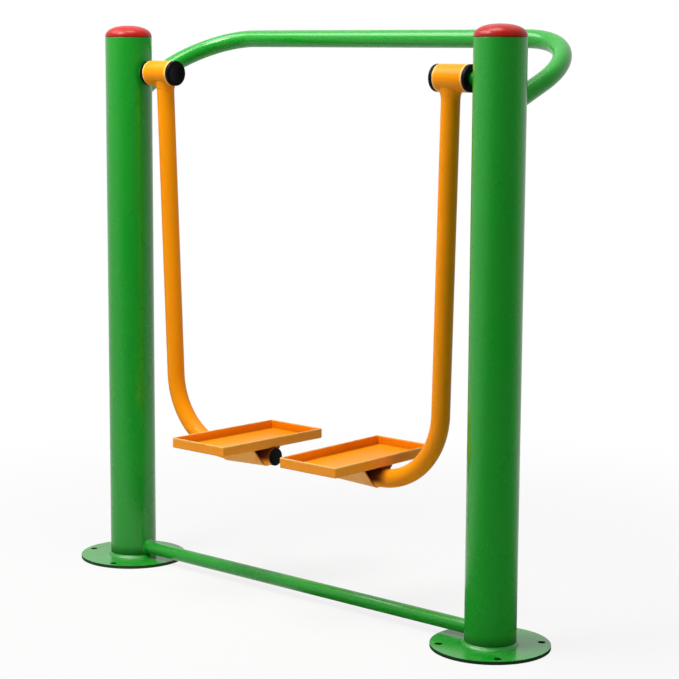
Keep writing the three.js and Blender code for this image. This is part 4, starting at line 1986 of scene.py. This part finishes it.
    def make_tube(self) -> None:
        """Bends the tube, copes it to the hub and welds it."""
        points = bent_path(self.corners, self.bend, self.bend_steps)
        path = [self.at.hanging @ point for point in points]
        half = self.saddle_length / 2
        path[-1:-1] = [
            self.saddle_frame @ (UP * (half + self.recess * share)) for share in self.ring_shares
        ]
        hub = RoundBar(self.at.pivot, Vector((1.0, 0.0, 0.0)), self.hub_radius)
        tube = SweptTube(path, self.tube_radius, self.tube_wall, hub)
        mesh = tube.shortened(self.hub_radius + self.tube_radius).mesh(self.shop, Slot.YELLOW)
        back = self.saddle_frame.inverted()
        # painted shade on the tube in the recess beside the strap, under the tray
        mark(mesh, Mark.SEAM, lambda spot: self.tube_grime(back @ spot))
        self.fit("leg_tube", "bent", mesh, Slot.YELLOW, Rides.LEG)
        stations = tube.stations(hub, True, self.hub_weld)
        self.lay("leg_hub_weld", stations, self.hub_weld, Slot.YELLOW, Rides.LEG)

    def tube_grime(self, spot: Vector) -> float:
        """How much painted shade lies on the tube at a place of the saddle's frame.

        Args:
            spot: the place.

        Returns:
            The share, highest on the tube's upper half beside the strap, under the tray.
        """
        reach = self.recess * (self.recess_growth if spot.z > 0 else 1.0)
        gone, hidden = self.recess_shares
        beside = gone - (abs(spot.z) - self.saddle_length / 2) / reach
        start, full = self.recess_heights
        above = (spot.y / self.tube_radius - start) / (full - start)
        share = max(0.0, min(beside, 1.0)) * max(0.0, min(above, 1.0))
        return self.recess_shade * share if beside < hidden else 0.0

    def make_plug(self) -> None:
        """Turns the plug in the end of the tube."""
        barrel = self.tube_radius - self.tube_wall - SEAT_GAP
        inside = barrel - self.plug_barrel_wall
        face = SEAT_GAP + self.plug_lip
        section = [
            Corner(0.0, SEAT_GAP),
            Corner(inside, SEAT_GAP),
            Corner(inside, -self.plug_depth),
            Corner(barrel, -self.plug_depth),
            Corner(barrel, SEAT_GAP),
            Corner(self.tube_radius, SEAT_GAP, self.small_fillet),
            Corner(self.tube_radius, face, self.plug_fillet),
            *(Corner(self.tube_radius * share, face + rise) for share, rise in self.plug_crown),
        ]
        mesh = MeshDraft().turned(section, self.sides, self.run_frame).finished("plug")
        self.fit("leg_tube_plug", "moulding", mesh, Slot.BLACK, Rides.LEG)

    @property
    def tray_frame(self) -> Matrix:
        """The frame of the tray.

        Returns:
            A frame with its origin in the tray's middle, X across and Y to the rear.
        """
        corner = abs(self.corners[1].x)
        drop = (self.straight + self.bend) * math.cos(self.lean)
        drop -= (corner - self.tray_set) * math.tan(self.lean)
        drop -= self.tube_radius + self.tray_standoff + self.tray_height / 2
        place = Matrix.Translation((self.at.sign * self.tray_set, self.tray_setback, -drop))
        return self.at.hanging @ place @ Matrix.Rotation(-self.tray_tilt, 4, "X")

    def tray_loop(self, inset: float, height: float, corner: float) -> list[Vector]:
        """One level loop of the tray.

        Args:
            inset: how far it lies inside the tray's outline.
            height: its height from the tray's middle.
            corner: the radius of its four corners.

        Returns:
            The loop's points in turn.
        """
        half = Vector((self.tray_width / 2 - inset, self.tray_length / 2 - inset))
        points = []
        for quarter, (right, back) in enumerate(((1, 1), (-1, 1), (-1, -1), (1, -1))):
            centre = Vector((right * (half.x - corner), back * (half.y - corner)))
            for step in range(self.tray_corner_steps + 1):
                angle = math.pi / 2 * (quarter + step / self.tray_corner_steps)
                spot = centre + Vector((math.cos(angle), math.sin(angle))) * corner
                points.append(self.tray_frame @ Vector((spot.x, spot.y, height)))
        return points

    def make_tray(self) -> None:
        """Folds the tray from sheet: rounded folds under the walls, thin rims, a flat floor."""
        half, sheet = self.tray_height / 2, self.tray_sheet
        floor = sheet - half
        section = [
            Corner(sheet * self.floor_rings[1], -half),
            Corner(0.0, -half, self.tray_fold),
            Corner(0.0, half - self.edge_band),
            Corner(0.0, half, self.tray_rim),
            Corner(sheet, half, self.tray_rim),
            Corner(sheet, half - self.edge_band),
            Corner(sheet, floor, self.tray_inner_fold),
            Corner(sheet * self.floor_rings[0], floor),
            Corner(sheet * self.floor_rings[1], floor),
        ]
        loops = []
        for inset, height in filleted(section):
            drawn = max(self.tray_corner - inset * self.corner_draw, self.corner_least)
            corner = drawn if inset < sheet * self.floor_rings[0] else self.tray_corner
            loops.append(self.tray_loop(inset, height, corner))
        mesh = weighted(MeshDraft().lofted(loops).finished("tray"))
        back = self.tray_frame.inverted()
        # painted highlight along the rim and painted reflection on the outside of the walls
        mark(mesh, Mark.EDGE, lambda spot: self.painted_rim_and_wall_light(back @ spot))
        # dirt and painted shade in the fold between floor and walls
        mark(mesh, Mark.SEAM, lambda spot: self.fold_dirt_and_shade(back @ spot, floor))
        self.fit("tray", "sheet", mesh, Slot.YELLOW, Rides.LEG)

    def margin(self, spot: Vector) -> float:
        """How far a place of the tray's frame lies inside the tray's outline."""
        return min(self.tray_width / 2 - abs(spot.x), self.tray_length / 2 - abs(spot.y))

    def painted_rim_and_wall_light(self, spot: Vector) -> float:
        """How pale the tray is painted: a painted highlight along the rim and a painted reflection of the
        floor on the outside of the walls.

        Args:
            spot: the place in the tray's frame.

        Returns:
            The share, full on the rim and less on the outside of the walls.
        """
        if spot.z > self.tray_height / 2 - self.edge_band * self.rim_share:
            return 1.0
        return self.painted_wall_reflection if self.margin(spot) < self.tray_sheet / 2 else 0.0

    def fold_dirt_and_shade(self, spot: Vector, floor: float) -> float:
        """How much dirt and painted shade lie at a place of the tray.

        Args:
            spot: the place in the tray's frame.
            floor: the height of the floor.

        Returns:
            The share, highest in the fold between floor and walls.
        """
        sheet = self.tray_sheet
        near, far = self.fold_shares
        beside = near * sheet < self.margin(spot) < far * sheet
        return self.tray_grime if beside and floor - TOUCH < spot.z < floor + sheet else 0.0

    def strap_outline(self) -> list[Vector]:
        """The strap's section, with sides longer than they end up.

        Returns:
            Its points in turn, in the saddle's frame.
        """
        slope = self.saddle_slope
        rise = self.tray_height + 2 * self.tube_radius
        bore = self.tube_radius + SEAT_GAP
        outline = []
        for radius, order in ((bore + self.saddle_sheet, 1), (bore, -1)):
            foot = Vector((radius * math.sin(slope), -radius * math.cos(slope)))
            wing = foot + Vector((rise / math.tan(slope), rise))
            arc = []
            for step in range(1, self.saddle_steps):
                angle = slope - math.pi / 2 - 2 * slope * step / self.saddle_steps
                arc.append(Vector((radius * math.cos(angle), radius * math.sin(angle))))
            side = [wing, foot, *arc, Vector((-foot.x, foot.y)), Vector((-wing.x, wing.y))]
            outline += side[::order]
        return outline

    def make_saddle(self) -> None:
        """Bends the strap under the tube and trims its sides to the tray's underside."""
        half = self.saddle_length / 2
        outline = self.strap_outline()
        draft = MeshDraft().lofted(
            [[self.saddle_frame @ Vector((*p, end)) for p in outline] for end in (-half, half)]
        )
        under, normal = self.underside
        parts = [*draft.bm.verts, *draft.bm.edges, *draft.bm.faces]
        cut = bmesh.ops.bisect_plane(
            draft.bm, geom=parts, plane_co=under, plane_no=normal, clear_outer=True
        )
        edges = [e for e in cut["geom_cut"] if isinstance(e, bmesh.types.BMEdge)]
        bmesh.ops.contextual_create(draft.bm, geom=edges)
        mesh = weighted(draft.finished("strap"))
        # painted reflection of the floor over the whole strap
        mark(mesh, Mark.EDGE, lambda spot: self.saddle_scuff)
        self.fit("tray_saddle", "strap", mesh, Slot.YELLOW, Rides.LEG)

    @property
    def underside(self) -> tuple[Vector, Vector]:
        """A point of the plane just under the tray, and the plane's upward normal."""
        point = self.tray_frame @ (UP * (-self.tray_height / 2 - SEAT_GAP))
        return point, (self.tray_frame.to_3x3() @ UP).normalized()

    def weld_saddle(self) -> None:
        """Welds the strap's sides to the tray and its ends to the tube."""
        for word, stations, look in (
            ("front", self.side_stations(-1), self.seam_weld),
            ("rear", self.side_stations(1), self.seam_weld),
            ("outer", self.end_stations(-1), self.saddle_weld),
            ("inner", self.end_stations(1), self.saddle_weld),
        ):
            self.lay(f"saddle_{word}_weld", stations, look, Slot.YELLOW, Rides.LEG, closed=False)

    def end_stations(self, way: int) -> list[Station]:
        """The places along the weld between an end of the strap and the tube.

        Args:
            way: -1 for the end nearer the bend, 1 for the other.

        Returns:
            The stations in turn.
        """
        look = self.saddle_weld
        count = look.puddles(self.tube_radius) // 3
        end = way * self.saddle_length / 2
        stations = []
        for step in range(count):
            share = step / (count - 1)
            angle = self.saddle_slope * (1 - 2 * share) - math.pi / 2
            out = Vector((math.cos(angle), math.sin(angle), 0.0))
            size = min(1.0, self.weld_start + self.weld_growths[0] * min(share, 1 - share))
            root = out * self.tube_radius + UP * end
            toe = root + out * WELD_LIFT + UP * (way * look.reach * size)
            lip = root + out * (SEAT_GAP + look.spread * size) + UP * (way * WELD_LIFT)
            stations.append(Station(*(self.saddle_frame @ spot for spot in (root, toe, lip))))
        return stations

    def side_stations(self, way: int) -> list[Station]:
        """The places along the weld between a side of the strap and the tray.

        Args:
            way: -1 for the front side, 1 for the rear one.

        Returns:
            The stations in turn.
        """
        look = self.seam_weld
        across, rise = math.cos(self.saddle_slope), math.sin(self.saddle_slope)
        radius = self.tube_radius + SEAT_GAP + self.saddle_sheet
        turn = self.saddle_frame.to_3x3()
        side = turn @ Vector((way * across, rise, 0.0))
        off = turn @ Vector((way * rise, -across, 0.0))
        point, normal = self.underside
        out = turn @ Vector((float(way), 0.0, 0.0))
        out = (out - normal * out.dot(normal)).normalized()
        count = round(self.saddle_length / PUDDLE_PITCH) * PUDDLE_STEPS
        stations = []
        for step in range(count):
            share = step / (count - 1)
            along = self.saddle_length * (share - 0.5) * self.seam_length
            start = self.saddle_frame @ Vector((way * radius * rise, -radius * across, along))
            root = start + side * ((point - start).dot(normal) / side.dot(normal))
            size = min(1.0, self.weld_start + self.weld_growths[1] * min(share, 1 - share))
            toe = root - side * (look.reach * size) + off * WELD_LIFT
            lip = root + out * (look.spread * size) - normal * WELD_LIFT
            stations.append(Station(root, toe, lip))
        return stations


@dataclass(frozen=True)
class Lamp:
    """A soft box light, aimed at the middle of the walker."""

    name: str
    azimuth: float  # in degrees from -Y towards +X
    height: float
    distance: float
    size: float
    power: float
    mirrored: bool = True


@dataclass
class Studio:
    """The floor, the lights, the backdrop and the camera."""

    focal: float = 1949.856  # of the photograph, in its pixels
    picture: float = 679.0
    sensor: float = 36.0
    azimuth: float = math.radians(41.4317)
    tilt: float = math.radians(8.4152)
    roll: float = math.radians(0.3257)
    stand: tuple[float, float, float] = (3.03411, -3.36866, 1.27953)
    aim: tuple[float, float, float] = (0.0, 0.0, 0.7)  # of the lamps
    floor_half: float = 15.0
    floor_colour: str = "d4d4d2"
    floor_roughness: float = 0.9
    floor_glow: float = 0.84  # how white the camera sees the floor under the walker
    floor_fade: Span = (0.7, 2.2)  # where it turns fully white
    ambient: float = 0.13
    dark_end: tuple[float, float, float] = (0.87, -0.49, 0.0)
    dark_span: Span = (-0.1, 0.9)
    mirrored: Span = (0.72, 0.05)  # how bright glossy faces see the room's pale and dark ends
    lamps: tuple[Lamp, ...] = (
        Lamp("front_soft_box", -20.0, 3.3, 1.9, 1.1, 66.0),
        Lamp("overhead_soft_box", 0.0, 4.0, 0.3, 1.5, 55.0),
        Lamp("left_soft_box", -60.0, 3.3, 1.9, 1.5, 38.0),
        Lamp("right_fill", 76.0, 4.2, 6.0, 2.4, 82.0, False),
    )

    def build(self) -> None:
        """Sets the whole studio up."""
        room = self.room_group()
        self.make_floor(room)
        self.make_world(room)
        for lamp in self.lamps:
            self.hang(lamp)
        self.make_camera()

    def room_group(self) -> Tree:
        """How bright the room looks in a direction: pale all round but for one darker end.

        Returns:
            A group with the input Direction and the output Brightness.
        """
        group = ShaderGroup.begun("room", Direction=(0.0, 0.0, 0.0))
        feeds = {0: group.given("Direction")}
        ahead = group.node("ShaderNodeVectorMath", feeds, operation="NORMALIZE").outputs["Vector"]
        feeds = {0: ahead, 1: self.dark_end}
        facing = group.node("ShaderNodeVectorMath", feeds, operation="DOT_PRODUCT").outputs["Value"]
        return group.closed(Brightness=group.ranged(facing, self.dark_span, self.mirrored))

    def make_floor(self, room: Tree) -> None:
        """Lays a pale floor that the camera sees as the white backdrop, with the walker's shadow.

        Args:
            room: the group that says how bright the room looks.
        """
        half = self.floor_half
        mesh = bpy.data.meshes.new("studio_floor")
        corners = [(-half, -half, 0.0), (half, -half, 0.0), (half, half, 0.0), (-half, half, 0.0)]
        mesh.from_pydata(corners, [], [(0, 1, 2, 3)])
        floor = bpy.data.objects.new("studio_floor", mesh)
        bpy.context.scene.collection.objects.link(floor)
        material = bpy.data.materials.new("pale_floor")
        material.use_nodes = True
        tree = NodeCanvas(material.node_tree)
        nodes = material.node_tree.nodes
        look = {"Base Color": linear(self.floor_colour), "Roughness": self.floor_roughness}
        tree.feed(nodes["Principled BSDF"], look)
        ray = tree.node("ShaderNodeLightPath").outputs
        camera, glossy, through = (ray[f"Is {w} Ray"] for w in ("Camera", "Glossy", "Transmission"))
        place = tree.node("ShaderNodeTexCoord").outputs["Object"]
        away = tree.node("ShaderNodeVectorMath", {0: place}, operation="LENGTH").outputs["Value"]
        fade = tree.ranged(away, self.floor_fade, (self.floor_glow, 1.0))
        bright = tree.placed(room, Direction=place).outputs["Brightness"]
        shade = tree.largest(tree.math("MULTIPLY", glossy, bright), camera, through)
        share = tree.largest(tree.math("MULTIPLY", camera, fade), glossy, through)
        glow = tree.node("ShaderNodeEmission", {"Color": shade})
        feeds = {0: share, 1: nodes["Principled BSDF"].outputs[0], 2: glow.outputs[0]}
        mix = tree.node("ShaderNodeMixShader", feeds)
        tree.feed(nodes["Material Output"], {"Surface": mix.outputs[0]})
        mesh.materials.append(material)

    def make_world(self, room: Tree) -> None:
        """Makes the backdrop: white to the camera, pale or dark in reflections, soft as a light.

        Args:
            room: the group that says how bright the room looks.
        """
        world = bpy.data.worlds.new("backdrop")
        world.use_nodes = True
        tree = NodeCanvas(world.node_tree)
        ray = tree.node("ShaderNodeLightPath").outputs
        camera, glossy, through = (ray[f"Is {w} Ray"] for w in ("Camera", "Glossy", "Transmission"))
        way = tree.node("ShaderNodeTexCoord").outputs["Generated"]
        bright = tree.placed(room, Direction=way).outputs["Brightness"]
        seen = tree.largest(tree.math("MULTIPLY", glossy, bright), camera, through)
        level = tree.ranged(seen, WHOLE, (self.ambient, 1.0), soft=False)
        tree.feed(world.node_tree.nodes["Background"], {"Color": level})
        bpy.context.scene.world = world

    def hang(self, lamp: Lamp) -> None:
        """Hangs a lamp.

        Args:
            lamp: the lamp.
        """
        light = bpy.data.lights.new(lamp.name, "AREA")
        light.shape = "SQUARE"
        light.size = lamp.size
        light.energy = lamp.power
        holder = bpy.data.objects.new(lamp.name, light)
        bpy.context.scene.collection.objects.link(holder)
        angle = math.radians(lamp.azimuth)
        x, y = lamp.distance * math.sin(angle), -lamp.distance * math.cos(angle)
        holder.location = (x, y, lamp.height)
        holder.visible_glossy = lamp.mirrored
        aim = Vector(self.aim) - Vector((x, y, lamp.height))
        holder.rotation_euler = aim.to_track_quat("-Z", "Y").to_euler()

    def make_camera(self) -> None:
        """Stands the camera where the photograph was taken from."""
        data = bpy.data.cameras.new("camera")
        data.sensor_width = self.sensor
        data.lens = self.sensor * self.focal / self.picture
        camera = bpy.data.objects.new("camera", data)
        bpy.context.scene.collection.objects.link(camera)
        sine, cosine = math.sin(self.azimuth), math.cos(self.azimuth)
        level = math.cos(self.tilt)
        ahead = Vector((-sine * level, cosine * level, -math.sin(self.tilt)))
        across = Vector((cosine, sine, 0.0))
        upright = across.cross(ahead)
        right = across * math.cos(self.roll) + upright * math.sin(self.roll)
        up = upright * math.cos(self.roll) - across * math.sin(self.roll)
        turn = Matrix((right, up, -ahead)).transposed().to_4x4()
        camera.matrix_world = Matrix.Translation(self.stand) @ turn
        bpy.context.scene.camera = camera
        bpy.context.scene.view_settings.view_transform = "Standard"


def main() -> None:
    """Builds the walker's looks around its frame and sets the studio up."""
    logging.basicConfig(level=logging.INFO, format="%(name)s: %(message)s")
    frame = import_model()
    groups = effect_groups()
    materials = {slot: finish.material(groups) for slot, finish in FINISHES.items()}
    shop = Workshop(materials, tube_tree(), weld_tree(), ball_tree())
    left, right = (Survey.taken(side, frame["record"]) for side in Side)
    for at in (left, right):
        for part in (StandingPost, Pivot, Leg):
            part(at, shop).build()
    for tube in (Handrail, TieBar):
        tube(left, right, shop).build()
    Studio().build()
    LOG.info("%d pieces", shop.count)


if __name__ == "__main__":
    main()
